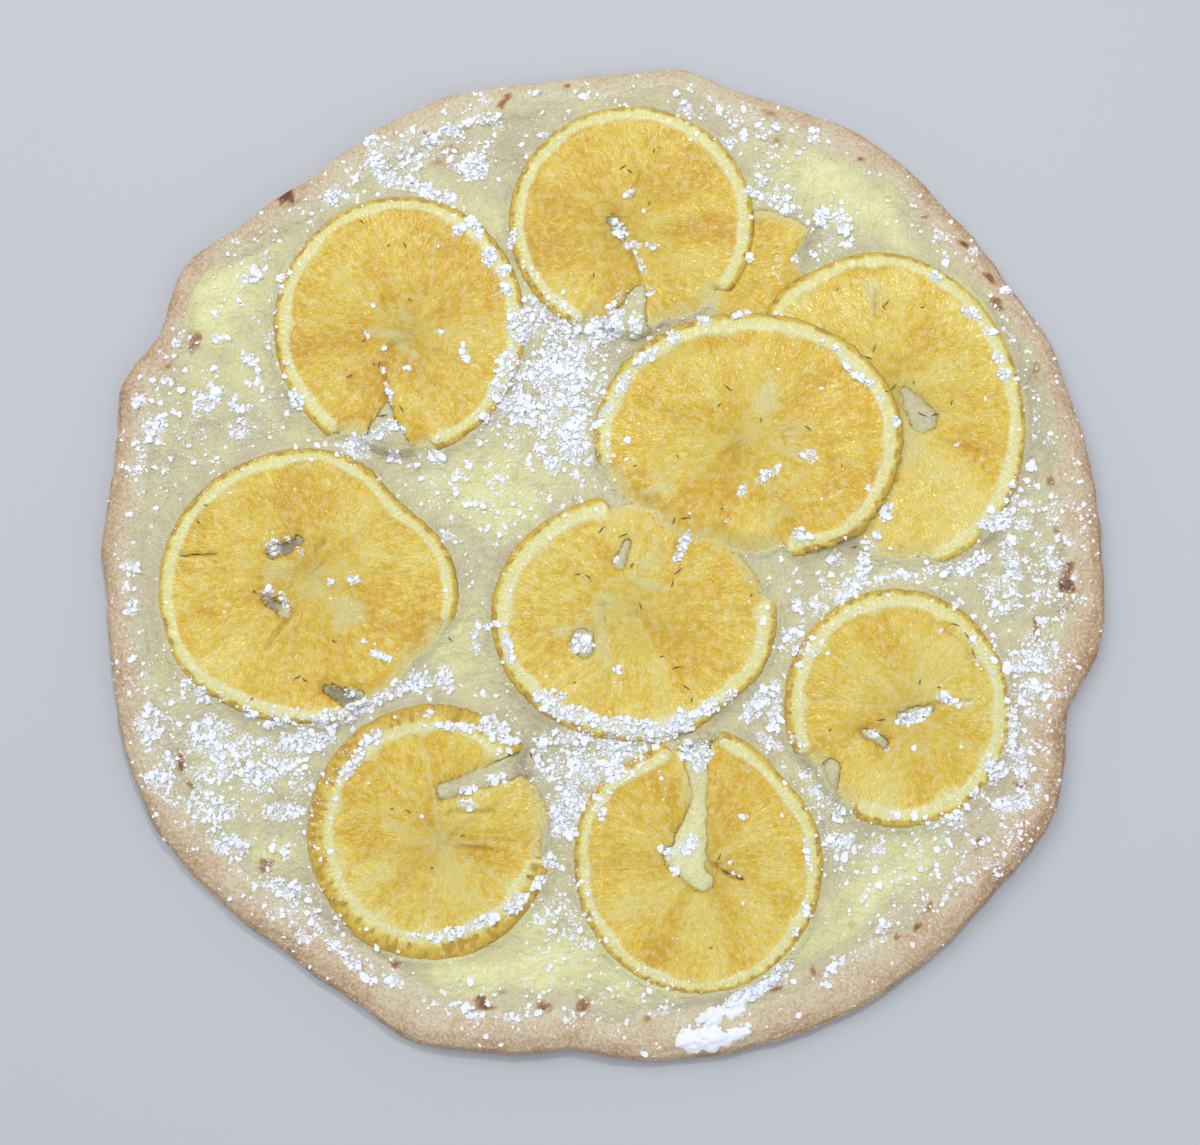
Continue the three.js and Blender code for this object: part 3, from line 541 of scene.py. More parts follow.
    (-135, -17, 1.8, 2.6, 0, 0.85), (-136, -5, 3, 1.6, 0, 0.7), (-136, -11, 3, 1.8, 0, 0.5),
    (-133, 24, 2, 4.6, 0, 0.5), (-130, 36, 4.4, 4, 0, 0.5), (-115, 44, 4.6, 4, 0, 0.8),
    (-104.6, 41.4, 3, 1.4, 0, 0.7), (-104, 34, 4, 4, 0, 0.5), (-134.6, 43.6, 2, 2.4, -30, 0.85),
    (-127, 49.4, 1.8, 1.3, 0, 1.0), (-112.6, 62.6, 3, 1.7, 0, 0.8), (-124, 61.4, 2.4, 1.2, 40, 0.7),
    (-103.4, 57, 2.8, 2, -42, 0.98), (-100.4, 51, 0.9, 3, 8, 0.9), (-103, 81, 3.6, 1.6, 35, 0.85),
    (-100, 87, 1.1, 1.2, 0, 1.0), (-94, 80.2, 2.4, 0.9, 0, 0.9), (-93.4, 76.4, 0.9, 1.4, 0, 0.9),
    (-106.6, 73, 1.4, 1.2, 0, 0.9), (-98, 62.4, 1.3, 1.8, -20, 0.9), (-95.4, 70.4, 0.9, 0.8, 0, 0.9),
    (-92, 54.6, 0.9, 1, 0, 0.9), (-88.6, 43.6, 2, 3, 25, 0.98), (-96.6, 45, 1, 0.9, 0, 1.0),
    (-69.6, 30, 4, 4, 0, 0.8), (-64, 34, 4, 2, 25, 0.6), (-59.6, 36, 3.4, 1.3, -40, 0.75),
    (-60, 27, 2, 2, 0, 0.85), (-76, 30, 3, 1, -15, 0.6), (-48, 27, 2.2, 2.2, 0, 0.9),
    (-42, 22, 2, 1.3, 30, 0.9), (-50, 21.4, 3.6, 0.9, 10, 0.6), (-38.4, 24.6, 2, 1.3, -20, 0.75),
    (-30, 18.6, 2.2, 3.6, 0, 0.55), (-34, 6.4, 1.6, 2, 40, 0.7), (-45, 4, 1.3, 1.8, 0, 0.8),
    (-64.6, 20, 1.4, 0.8, 0, 0.9), (-94.4, 0.6, 2.4, 2.6, 20, 0.8), (-90.4, 2.8, 1, 0.8, 0, 0.9),
    (-86.6, -1, 1.8, 0.6, -55, 0.8), (-95.6, -13, 2.4, 1.8, -35, 0.65), (-91, -15.6, 4, 1.2, -68, 0.8),
    (-71.4, -9.4, 2, 1.5, 0, 1.0), (-77.8, -10, 0.9, 1.2, 0, 0.9), (-36, -26, 1.5, 4.4, -5, 0.75),
    (-29.4, -22, 2.8, 0.7, 0, 0.9), (-27, -28, 5, 1.5, -78, 0.88), (-5.6, -27.4, 3.4, 2.6, 0, 0.97),
    (5, -34.8, 1.6, 1.2, 0, 0.6), (5.4, -39, 2, 1.2, 0, 0.45), (5, -3, 1.4, 1.2, 0, 0.45),
    (-33.6, -41.6, 1.4, 0.9, -50, 0.8), (98, -43.4, 3.4, 1.2, -18, 0.9), (102.6, -44.6, 2.4, 0.8, 5, 0.8),
    (89, -48.5, 5.4, 1.9, 14, 0.97), (77.4, -53, 1.3, 1, 0, 0.8), (106, -27, 1.4, 1, -30, 0.9),
    (107.6, -34, 3, 0.9, -75, 0.7), (110.8, -36, 1.6, 1, 20, 0.8), (97, -23.6, 1.2, 0.5, 75, 0.9),
    (82.6, -76, 2, 1.1, 40, 1.0), (81, -57.6, 0.8, 0.6, 0, 0.9), (-47.6, 64, 1.2, 0.9, 0, 1.0),
    (-68.6, 63, 0.9, 0.9, 0, 1.0), (-64, 53, 0.9, 1.3, 0, 0.95), (-61.6, 45.4, 0.9, 2.6, 12, 0.95),
    (-63.4, 59, 0.7, 0.9, 0, 0.9), (-56.4, 53, 1.4, 0.7, 0, 0.95), (-40, 57, 0.8, 3.2, 5, 0.6),
    (-44, 81.6, 0.6, 0.9, 0, 0.9), (-67, 72, 0.5, 0.9, 20, 0.8), (-17, 124, 1.8, 0.8, -10, 0.8),
    (-22, 118, 1.3, 0.7, 40, 0.9), (7, 94.6, 1, 2, 30, 0.7), (43.6, 86, 0.8, 1.4, 0, 0.9),
    (43, 92.6, 0.6, 1.6, 0, 0.8), (44, 98.6, 0.9, 0.8, 0, 0.9), (63, 76.4, 0.8, 0.6, 0, 0.9),
    (103, 30.6, 1.2, 0.8, 20, 0.9), (0, -76, 1, 1.8, 0, 0.95),
]
print(len(DUSTING), "patches of dusting and", len(FLAKES), "flakes")

# %% [markdown]
# ### How much sugar lies at a place
#
# Sugar that fell on wet orange flesh has melted, so the dusting hardly reaches it, and little of it stays
# on the slope of the rim. Damp grains cling together, so the share of covered ground also rises and falls
# over a few millimetres, which leaves bare ground between small clumps.

# %% Share of the ground that sugar covers
DUST_EVERYWHERE = 0.03
MELTED = 0.05  # share of the dusting that stays white on wet flesh
SLID_OFF = 0.55  # share that the rim's slope has lost
CLINGING = 2.8  # how strongly the sugar gathers
DENSEST = 0.82


def patch_distance(x, y, patch):
    """Distance from a patch's middle, with its edge at 1."""
    at_x, at_y, reach_x, reach_y, turn, _ = patch
    along, across = math.cos(math.radians(turn)), math.sin(math.radians(turn))
    dx, dy = x - at_x, y - at_y
    return np.hypot((dx * along + dy * across) / reach_x, (dy * along - dx * across) / reach_y)


def pool_field(x, y, pools):
    field = np.zeros_like(x)
    for pool in pools:
        field = np.maximum(field, pool[-1] * np.exp(-(patch_distance(x, y, pool) ** 2)))
    return field


def flesh_depth(x, y):
    """How far inside the rind of any slice a place is."""
    depth = np.full_like(x, NOT_IN)
    for fruit in SLICES.values():
        dx, dy = x - fruit["at"][0], y - fruit["at"][1]
        rind = fruit.get("peel", PEEL) + fruit.get("pith", PITH)
        rind *= 1 - bareness(fruit, direction_of(dx, dy))
        depth = np.maximum(depth, -outside(fruit, x, y) - rind)
    return depth


def sugar_share(x, y):
    """Share of the ground that sugar covers at each place."""
    share = DUST_EVERYWHERE + pool_field(x, y, DUSTING)
    share *= 1 - (1 - MELTED) * smoothstep(flesh_depth(x, y), -0.6, 0.8)
    share *= 1 - SLID_OFF * smoothstep(np.hypot(x, y) - outline_at(direction_of(x, y)), -8.5, -2)
    ragged = 0.26 * lumps(x, y, 2.2, 81) + 0.2 * lumps(x, y, 0.9, 82)
    for flake in FLAKES:
        near = (np.abs(x - flake[0]) < 14) & (np.abs(y - flake[1]) < 14)
        off = patch_distance(x[near], y[near], flake) + ragged[near]
        share[near] = np.maximum(share[near], flake[-1] * (1 - smoothstep(off, 0.85, 1.1)))
    return np.clip(share, 0, 1)


def gathered_share(x, y):
    """The same share after the sugar has gathered in clumps of a few millimetres."""
    share = sugar_share(x, y)
    pattern = 0.6 * lumps(x, y, 3.6, 91) + 0.4 * lumps(x, y, 1.5, 92)
    return np.clip(share * (1 + CLINGING * pattern * (1 - share)), 0, DENSEST)


print("share of sugar at the middle:", round(float(gathered_share(np.zeros(1), np.zeros(1))[0]), 2))

# %% [markdown]
# ## Finishing a piece
#
# Every finished object sits at the origin, with its place in its mesh, so a piece is moved there by its
# vertices alone. It rides on the one body of the plain model and says which plain parts it stands for.

# %% Finishing helpers


def move_to_frame(mesh):
    """Turns millimetres about the outline's middle into metres in the shared frame."""
    x, y, z = read_points(mesh).T
    write_points(mesh, (x - MIDDLE[0]) * MM, (y - MIDDLE[1]) * MM, z * MM)


def finish_mesh(mesh):
    """Puts a mesh in the shared frame and shades it smooth."""
    move_to_frame(mesh)
    mesh.polygons.foreach_set("use_smooth", np.ones(len(mesh.polygons), dtype=bool))


def add_piece(name, mesh, material, slot, *nodes):
    piece = bpy.data.objects.new(name, mesh)
    bpy.context.scene.collection.objects.link(piece)
    mesh.materials.append(material)
    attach(piece, "root")
    if nodes:
        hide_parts(*nodes)
    mesh.calc_loop_triangles()
    print(f"{name}: {len(mesh.loop_triangles)} triangles")
    return piece


def spun(profile, sectors):
    """A form spun about the vertical axis from a profile of radii and heights that starts on the axis."""
    bm = bmesh.new()
    spoke = [bm.verts.new((radius, 0, height)) for radius, height in profile]
    edges = [bm.edges.new(pair) for pair in zip(spoke, spoke[1:])]
    bmesh.ops.spin(
        bm, geom=spoke + edges, cent=(0, 0, 0), axis=(0, 0, 1), angle=2 * math.pi,
        steps=sectors, use_merge=True,
    )
    bmesh.ops.remove_doubles(bm, verts=bm.verts, dist=1e-5)
    return bm


def to_mesh(bm, name):
    bmesh.ops.recalc_face_normals(bm, faces=bm.faces)
    mesh = bpy.data.meshes.new(name)
    bm.to_mesh(mesh)
    bm.free()
    return mesh


print("a millimetre is", MM, "of a metre")

# %% [markdown]
# ## Finding the ground
#
# Cream runs up on the dough, a limp slice sinks onto what is under it, and grains lie on everything. So
# each finished piece joins a list called the ground, and a ray from above finds the highest surface at
# a place. A search tree for each piece makes this quick, and it is built once.

# %% Places on the surface
CEILING = 0.06  # metres, above everything
ground = []
trees = {}


def surface_heights(x, y):
    """Height in millimetres of the highest surface at each place, and its normal."""
    graph = bpy.context.evaluated_depsgraph_get()
    heights, normals = np.full(len(x), -1.0), np.zeros((len(x), 3))
    across, along = (x - MIDDLE[0]) * MM, (y - MIDDLE[1]) * MM
    down = Vector((0, 0, -1))
    for piece in ground:
        if piece.name not in trees:
            points = read_points(piece.data)
            trees[piece.name] = BVHTree.FromObject(piece, graph), points.min(axis=0), points.max(axis=0)
        tree, low, high = trees[piece.name]
        over = (across > low[0]) & (across < high[0]) & (along > low[1]) & (along < high[1])
        for i in np.flatnonzero(over):
            hit, normal, _, _ = tree.ray_cast(Vector((across[i], along[i], CEILING)), down)
            if hit is not None and hit.z / MM > heights[i]:
                heights[i], normals[i] = hit.z / MM, normal
    return heights, normals


def soft_greater(one, other, softness):
    """The greater of two heights, with a rounded change from one to the other."""
    return softness * np.logaddexp(one / softness, other / softness)


print("the search starts", round(1000 * CEILING), "mm up")

# %% [markdown]
# ## The dough
#
# The real base is stretched by hand, so its rim is uneven in width and height, and the oven raised
# blisters on it. It could be sculpted by hand too, but a spun profile keeps the flat underside and the
# low rim exact. The rings are then moved so that the outer ones follow the uneven outline and the inner
# ones the custard's edge, and the rim gets lumps at three sizes along its normals. Each blister is a low
# dome that sank in where it burst, and the same list says where the oven burnt the dough and the cream.

# %% Model the dough
DOUGH_SECTORS = 800
PROFILE_STEP = 0.45  # millimetres between the rings of the rim
BLISTER = 0.42  # height of a blister as a share of its half-width
SCORCHES = [  # blisters and burnt spots, laid out as the sugar's patches are, with how dark each baked
    (-93.4, 106.1, 4.6, 3.2, 30, 1.0), (-119.4, 61.7, 1.8, 4.4, -25, 0.55),
    (-126.7, 54.2, 1.4, 1.2, 0, 0.5), (-131.6, 33.4, 1.5, 2.3, 0, 0.6), (-29, 134.5, 2.8, 1.3, 40, 0.6),
    (-43.8, 119.6, 3.4, 1.5, -20, 0.6), (-48.8, 116.2, 2.1, 1.2, 0, 0.4),
    (-52.2, 124.9, 2.2, 0.9, 20, 0.6), (-10.6, 139.8, 1.3, 1.2, 0, 0.9),
    (50.6, 130.2, 2.6, 1.4, -15, 0.45), (51.4, 122.4, 3, 1.8, 0, 0.35), (77.1, 117.2, 1.2, 0.9, 0, 0.7),
    (95.7, 99, 1.6, 1.5, 0, 0.5), (107, 90.5, 2.4, 1, -40, 0.8), (114.4, 80.4, 2.2, 1.1, -50, 0.7),
    (116.5, 72, 4, 1.2, -65, 0.7), (126.5, 52.4, 1.5, 2.3, 0, 0.6), (130.4, 20.1, 1.2, 1.6, 0, 0.6),
    (131.6, 5.5, 1.3, 1.4, 0, 0.6), (134.3, -9.9, 2.8, 5.4, 5, 1.0), (132.3, -17.8, 1.6, 1.4, 0, 0.6),
    (124.9, -23.5, 0.9, 4, -5, 0.5), (119.5, -67.9, 2.6, 2.6, 0, 0.95), (106.3, -83.6, 3.4, 1.3, 48, 0.6),
    (91.8, -101.6, 3.2, 1.5, 45, 0.6), (88.6, -106.9, 2, 1.5, 40, 0.9), (82.9, -109.9, 1.4, 1, 0, 0.8),
    (70.3, -106, 3, 1.3, 20, 0.35), (59.2, -119.2, 1.4, 1, 0, 0.6), (49.1, -123.9, 2.6, 1, 30, 0.6),
    (13, -132.3, 1.5, 1.2, 0, 0.4), (-5.1, -128.5, 2.3, 1.7, 0, 0.65), (-16.3, -129.1, 2.1, 1.5, 0, 0.8),
    (-33.3, -127.7, 2.9, 1.7, -10, 0.9), (-27.5, -125.2, 1.6, 0.9, 0, 0.4),
    (-57.8, -117.6, 1.4, 1, 0, 0.6), (-94.6, -90, 2.3, 2.9, 0, 0.6), (-119.7, -61.7, 1.3, 4.2, 15, 0.85),
    (-116.7, -67.6, 2.3, 1.1, -20, 0.7), (-107.5, -40.7, 1.8, 1.3, 0, 0.4), (-102, -61, 2, 1.4, 20, 0.35),
    (-59, -103, 1.4, 1, 0, 0.3),
]
TOASTED = [(95, 7.5, 42), (20, 1, 30), (185, 1.5, 40), (262, 1.5, 40), (335, -1.6, 28)]  # above 0 is paler

print(len(SCORCHES), "blisters and burnt spots")

# %% Shape of the dough


def follow_outline(x, y):
    """Moves the rings of a round form to the uneven outline and to the uneven edge of the custard."""
    radius, direction = np.hypot(x, y), direction_of(x, y)
    edge_move = outline_at(direction) - DOUGH_RADIUS
    rim_move = edge_move - (rim_width_at(direction) - RIM_WIDTH)
    inner = DOUGH_RADIUS - RIM_WIDTH
    on_rim = smoothstep(radius, inner, DOUGH_RADIUS - 3)
    within = smoothstep(radius, inner - 45, inner - RIM_SLOPE - 1)
    move = np.where(radius > inner, rim_move + (edge_move - rim_move) * on_rim, rim_move * within)
    scale = (radius + move) / np.maximum(radius, 1e-6)
    return x * scale, y * scale


def dough_profile():
    """The section from the middle of the underside, round the rim, to the middle of the floor."""
    inner = DOUGH_RADIUS - RIM_WIDTH
    corners = [
        (DOUGH_RADIUS - 7, 0), (DOUGH_RADIUS - 2, 0.9), (DOUGH_RADIUS, 3.4),
        (DOUGH_RADIUS - 1.6, RIM_HEIGHT - 1.6), (DOUGH_RADIUS - 5, RIM_HEIGHT),
        (inner + 3.5, RIM_HEIGHT - 0.3), (inner, RIM_HEIGHT - 0.9), (inner - RIM_SLOPE, DOUGH_FLOOR),
    ]
    fine = []
    for (radius0, height0), (radius1, height1) in zip(corners, corners[1:]):
        steps = max(3, round(math.hypot(radius1 - radius0, height1 - height0) / PROFILE_STEP))
        fine += [
            (radius0 + (radius1 - radius0) * i / steps, height0 + (height1 - height0) * i / steps)
            for i in range(steps)
        ]
    underside = [(0, 0), (50, 0), (100, 0)]
    floor = [corners[-1], (100, DOUGH_FLOOR), (50, DOUGH_FLOOR), (0, DOUGH_FLOOR)]
    return underside + fine + floor


def scorch_field(x, y):
    """How far each place is blown up, and how dark it baked."""
    swell, dark = np.zeros_like(x), np.zeros_like(x)
    ragged = 0.5 * lumps(x, y, 2.4, 31) + 0.45 * lumps(x, y, 1.1, 32)
    for scorch in SCORCHES:
        near = (np.abs(x - scorch[0]) < 9) & (np.abs(y - scorch[1]) < 9)
        off = patch_distance(x[near], y[near], scorch)
        dome = np.sqrt(np.clip(1 - (off / 1.4) ** 2, 0, 1))
        burst = 0.6 * scorch[-1] * np.exp(-((off / 0.6) ** 2))
        swell[near] += BLISTER * min(scorch[2:4]) * (dome - burst)
        mark = scorch[-1] * (1 - smoothstep(off + ragged[near], 0.15, 1.25))
        dark[near] = np.maximum(dark[near], mark)
    return swell, dark


def model_dough():
    mesh = to_mesh(spun(dough_profile(), DOUGH_SECTORS), "dough")
    x, y, z = read_points(mesh).T
    on_top = z > DOUGH_FLOOR + 0.8
    radius, direction = np.hypot(x, y), direction_of(x, y)
    inner = DOUGH_RADIUS - RIM_WIDTH
    rise = wave_sum(RIM_HEIGHTS, direction) * smoothstep(radius, inner - 1, inner + 4)
    new_x, new_y = follow_outline(x, y)
    write_points(mesh, new_x, new_y, np.where(on_top, z + rise, z))
    normals = read_normals(mesh)
    x, y, z = read_points(mesh).T
    along = radius * np.radians(direction)
    crust = 0.5 * rough(x, y, 11, 11) + 0.2 * rough(along, z * 2.0 + radius, 3.2, 14)
    crust *= smoothstep(radius, inner - 3.5, inner + 1) * smoothstep(z, 0.2, 2.2)
    swell, char = scorch_field(x, y)
    bump = swell * on_top * smoothstep(radius, inner - 4, inner)
    x, y = x + normals[:, 0] * crust, y + normals[:, 1] * crust
    z = np.maximum(z + normals[:, 2] * crust + bump, np.where(z < 0.01, 0, 0.05))
    write_points(mesh, x, y, z)
    direction = direction_of(x, y)
    paint(mesh, "inset", outline_at(direction) - np.hypot(x, y) + wave_sum(TOASTED, direction))
    paint(mesh, "char", char * on_top)
    paint(mesh, "sugar", gathered_share(x, y) * on_top)
    finish_mesh(mesh)
    return mesh


dough_mesh = model_dough()
print("dough:", len(dough_mesh.vertices), "vertices")

# %% [markdown]
# ### The dough's finish
#
# This is baked wheat dough: floury and pale on top, tan to brown on the outermost edge where the oven's
# heat reached it first, and dark on the blisters. The mesh carries the distance in from the outline, and
# the material turns it into a toast colour through a ramp. A painted image could do this, but the
# distance fits any size of render. Patches a centimetre wide break up the ramp so that no line shows,
# flour lies in specks of 0.9 mm, and the same specks as a fine bump give the dry, grainy skin.

# %% Baked wheat dough


def with_scorches(tree, base, specks):
    """Brown where the oven burnt the surface, darker toward the middle of a burnt spot."""
    char = add(tree, PAINTED, output="Fac", attribute_name="char")
    burnt = add(tree, RAMP, [char], stops=[
        (0.0, "#c7a272"), (0.45, "#ac8253"), (0.75, "#80593c"), (1.0, "#66493a"),
    ])
    ragged = add(tree, MATH, [specks, 0.3, char], operation="MULTIPLY_ADD")
    return add(tree, MIX, {0: add(tree, RANGE, [ragged, 0.2, 0.55]), 6: base, 7: burnt}, 2, data_type="RGBA")


def make_dough_material():
    """Baked wheat dough: dry and floury, so it is rough and shines little."""
    material, tree, shader = new_material("baked_wheat_dough")
    place = add(tree, PLACE, output="Object")
    inset = add(tree, PAINTED, output="Fac", attribute_name="inset")
    patches = add(tree, NOISE, {"Vector": place, "Scale": scale_of(10.5), "Detail": 5.0, "Roughness": 0.6})
    specks = add(tree, NOISE, {"Vector": place, "Scale": scale_of(0.87), "Detail": 3.0})
    moved = add(tree, MATH, [patches, 22.0, inset], operation="MULTIPLY_ADD")
    toast = add(tree, RAMP, [add(tree, RANGE, [moved, 10.0, 27.0])], stops=[
        (0.0, "#a5805d"), (0.2, "#bd9b77"), (0.42, "#ccb291"), (0.7, "#d3c4a2"), (1.0, "#d5cead"),
    ])
    flour = add(tree, RANGE, [specks, 0.46, 0.66, 0.0, 0.6])
    floured = add(tree, MIX, {0: flour, 6: toast, 7: "#e0d6bd"}, 2, data_type="RGBA")
    tan = add(tree, RANGE, [specks, 0.48, 0.34, 0.0, 0.35])
    baked = add(tree, MIX, {0: tan, 6: floured, 7: "#ad8862"}, 2, data_type="RGBA")
    finished = with_sugar_film(tree, with_scorches(tree, baked, specks))
    tree.links.new(finished, shader.inputs["Base Color"])
    shader.inputs["Roughness"].default_value = 0.78
    shader.inputs["Specular IOR Level"].default_value = 0.3
    bump = add(tree, BUMP, {"Height": specks, "Strength": 0.4, "Distance": 0.4 * MM})
    tree.links.new(bump, shader.inputs["Normal"])
    return material


dough_material = make_dough_material()
ground.append(add_piece("baked_dough", dough_mesh, dough_material, "baked_dough", "dough_base"))

# %% [markdown]
# ## The custard cream
#
# The cream was spread with a spoon and baked, so it has long, shallow swells, a slightly wrinkled skin,
# and a ragged edge that thins out over the dough. A fluid simulation could spread it, but would be slow
# and hard to steer, so it is spun as a low disc whose top is raised and lowered. It follows the same
# swells as the plain model, with finer ones over them. It creeps up a little against each slice of
# orange, fills the tears in them nearly to the top, and runs up onto the rim in thin tongues. The mesh
# also carries how fresh the cream looks, because thick pools stay bright yellow where thin cream turns
# beige.

# %% Model the custard
CUSTARD_SECTORS = 640
CUSTARD_RINGS = 130
RIM_LAP = 6.0  # how far the cream may run up onto the rim
CREEP = 2.3  # how far it creeps up against a slice
TEAR_FILL = 2.3  # how far it rises in a tear
FRESH_POOLS = [  # middle, two half-widths, turn in degrees, strength
    (-114, 76, 12, 19, -25, 0.62), (-120, 52, 5, 9, 0, 0.3), (74, 110, 22, 11, -40, 0.85),
    (104, 84, 6, 18, 35, 0.5), (-30, -121, 30, 9, 8, 0.95), (80, -97, 24, 9, 38, 0.5),
    (-94, -88, 9, 8, 0, 0.6), (-31, 18, 15, 12, 0, 0.48), (-40, -27, 7, 15, 0, 0.5),
    (-100, 50, 8, 8, 0, 0.3), (-36, 98, 8, 12, 0, 0.3), (-72, 24, 12, 5, -30, 0.3),
    (-20, -108, 8, 8, 0, 0.4), (57, -112, 14, 5, 35, 0.35), (10, -126, 16, 8, 0, 0.5),
    (26, -87, 7, 18, 0, 0.6),
]
SHADED = [  # holes in the slices and seams beside them, where the cream is painted dark grey-brown as painted shade
    (3.4, 95, 2.6, 4.4, 20, 1.0), (-91.5, 0, 6, 4, 20, 1.0), (-94.5, -15.5, 4.6, 3.6, -35, 0.8),
    (-74, -42.5, 6, 2.6, -15, 1.0), (6, 76, 2, 8, 0, 0.4), (58, -62, 3, 5, 30, 0.6),
    (-8, -4.6, 3, 5, 20, 0.7), (-30, 88, 3, 12, 60, 0.5), (-66, 24, 10, 2, -20, 0.3),
]

print(len(FRESH_POOLS), "fresh pools and", len(SHADED), "shaded places")

# %% Shape of the custard


def custard_wave(x, y):
    """Hollows and swells of the custard, deepest at 1 and flat at 0."""
    long = np.sin(x / 11 + 1.3 * np.sin(y / 17))
    cross = np.sin(y / 9 - 1.1 * np.sin(x / 14))
    return 0.5 + 0.25 * (long + cross)


def inside_tears(x, y):
    """How far inside a tear of any slice a place is."""
    depth = np.full_like(x, NOT_IN)
    for fruit in SLICES.values():
        near = outside(fruit, x, y) < 1
        off = outside_tears(fruit, x[near] - fruit["at"][0], y[near] - fruit["at"][1])
        depth[near] = np.maximum(depth[near], -off if fruit["tears"] else NOT_IN)
    return depth


def custard_profile(inner):
    edge = inner + RIM_LAP
    rings = [edge * i / CUSTARD_RINGS for i in range(CUSTARD_RINGS + 1)]
    top = [(radius, CUSTARD_TOP) for radius in reversed(rings)]
    below = DOUGH_FLOOR + 0.3
    return [(0, below), (edge * 0.5, below), (inner - 4, below), (edge - 1, below + 0.5)] + top


def cream_level(x, y, past, gap, fresh, shaded):
    """Height of the cream, from the distance past its inner edge and the gap to the nearest slice."""
    open_ground = smoothstep(gap, -1, 5)
    inside = 1 - smoothstep(past, -16, -5)
    level = CUSTARD_TOP - CUSTARD_HOLLOW * custard_wave(x, y) * inside
    folds = lumps(x + 3 * lumps(x, y, 8, 25), y + 3 * lumps(x, y, 8, 24), 5, 26)
    wrinkled = 0.35 * rough(x, y, 7, 21) + (0.5 + 0.9 * fresh) * np.abs(folds) + 0.18 * rough(x, y, 2.4, 27)
    level += (wrinkled + 0.5 * fresh * inside) * open_ground
    level += CREEP * np.exp(-np.maximum(gap, 0) / 2.4) * smoothstep(gap, -2, -0.6)
    level += (TEAR_FILL - 1.8 * shaded) * smoothstep(inside_tears(x, y), -1.2, 0.6)
    return level + 0.5 * smoothstep(past, -16, -5) - 2.4 * smoothstep(past, -2.5, 1.5)


def model_custard():
    inner = DOUGH_RADIUS - RIM_WIDTH
    mesh = to_mesh(spun(custard_profile(inner), CUSTARD_SECTORS), "custard")
    x, y, z = read_points(mesh).T
    on_top = z > CUSTARD_TOP - 0.1
    past = np.hypot(x, y) - inner
    x, y = follow_outline(x, y)
    gap = near_slices(x, y)
    fresh = pool_field(x + 4 * lumps(x, y, 9, 71), y + 4 * lumps(x, y, 9, 72), FRESH_POOLS)
    shaded = pool_field(x, y, SHADED)
    level = cream_level(x, y, past, gap, fresh, shaded)
    dough = np.full_like(x, DOUGH_FLOOR)
    near_rim = on_top & (past > -5)
    dough[near_rim] = surface_heights(x[near_rim], y[near_rim])[0]
    film = 0.6 + 0.4 * rough(x, y, 6, 28) + 0.6 * lumps(x, y, 17, 29) - 0.28 * np.maximum(past, 0)
    film = np.minimum(film, 0.8) - 2 * smoothstep(past, RIM_LAP - 1.5, RIM_LAP)
    write_points(mesh, x, y, np.where(on_top, soft_greater(level, dough + film, 0.22), z))
    # Painted shade: the fresh value drops a little within a few millimetres of a slice, so the cream is
    # greyer there.
    paint(mesh, "fresh", fresh * (1 - 0.6 * smoothstep(past, -4, 3)) - 0.06 * np.exp(-((gap / 3) ** 2)))
    paint(mesh, "shaded", shaded)
    thin = smoothstep(past + 7 * lumps(x, y, 13, 36) + 3 * lumps(x, y, 5, 37), -7, 4)
    paint(mesh, "thin", thin * (1 - 0.7 * fresh))
    paint(mesh, "char", scorch_field(x, y)[1])
    paint(mesh, "sugar", gathered_share(x, y))
    finish_mesh(mesh)
    return mesh


custard_mesh = model_custard()
print("custard:", len(custard_mesh.vertices), "vertices")

# %% [markdown]
# ### The custard's finish
#
# Custard cream is a cooked starch cream of egg and milk, with a satin skin that wrinkled as it baked.
# The yellow must stay clean: a yellow with too little red turns olive. Thin cream that dried in the oven
# is beige. One even colour would look like plastic, so the material blends the two by the mesh's own
# values and by noise at four sizes: spoon strokes of 26 mm, clouds of 8 mm, the wrinkles of the skin at
# 3.3 mm and its grain at 1.25 mm.

# %% Baked custard cream


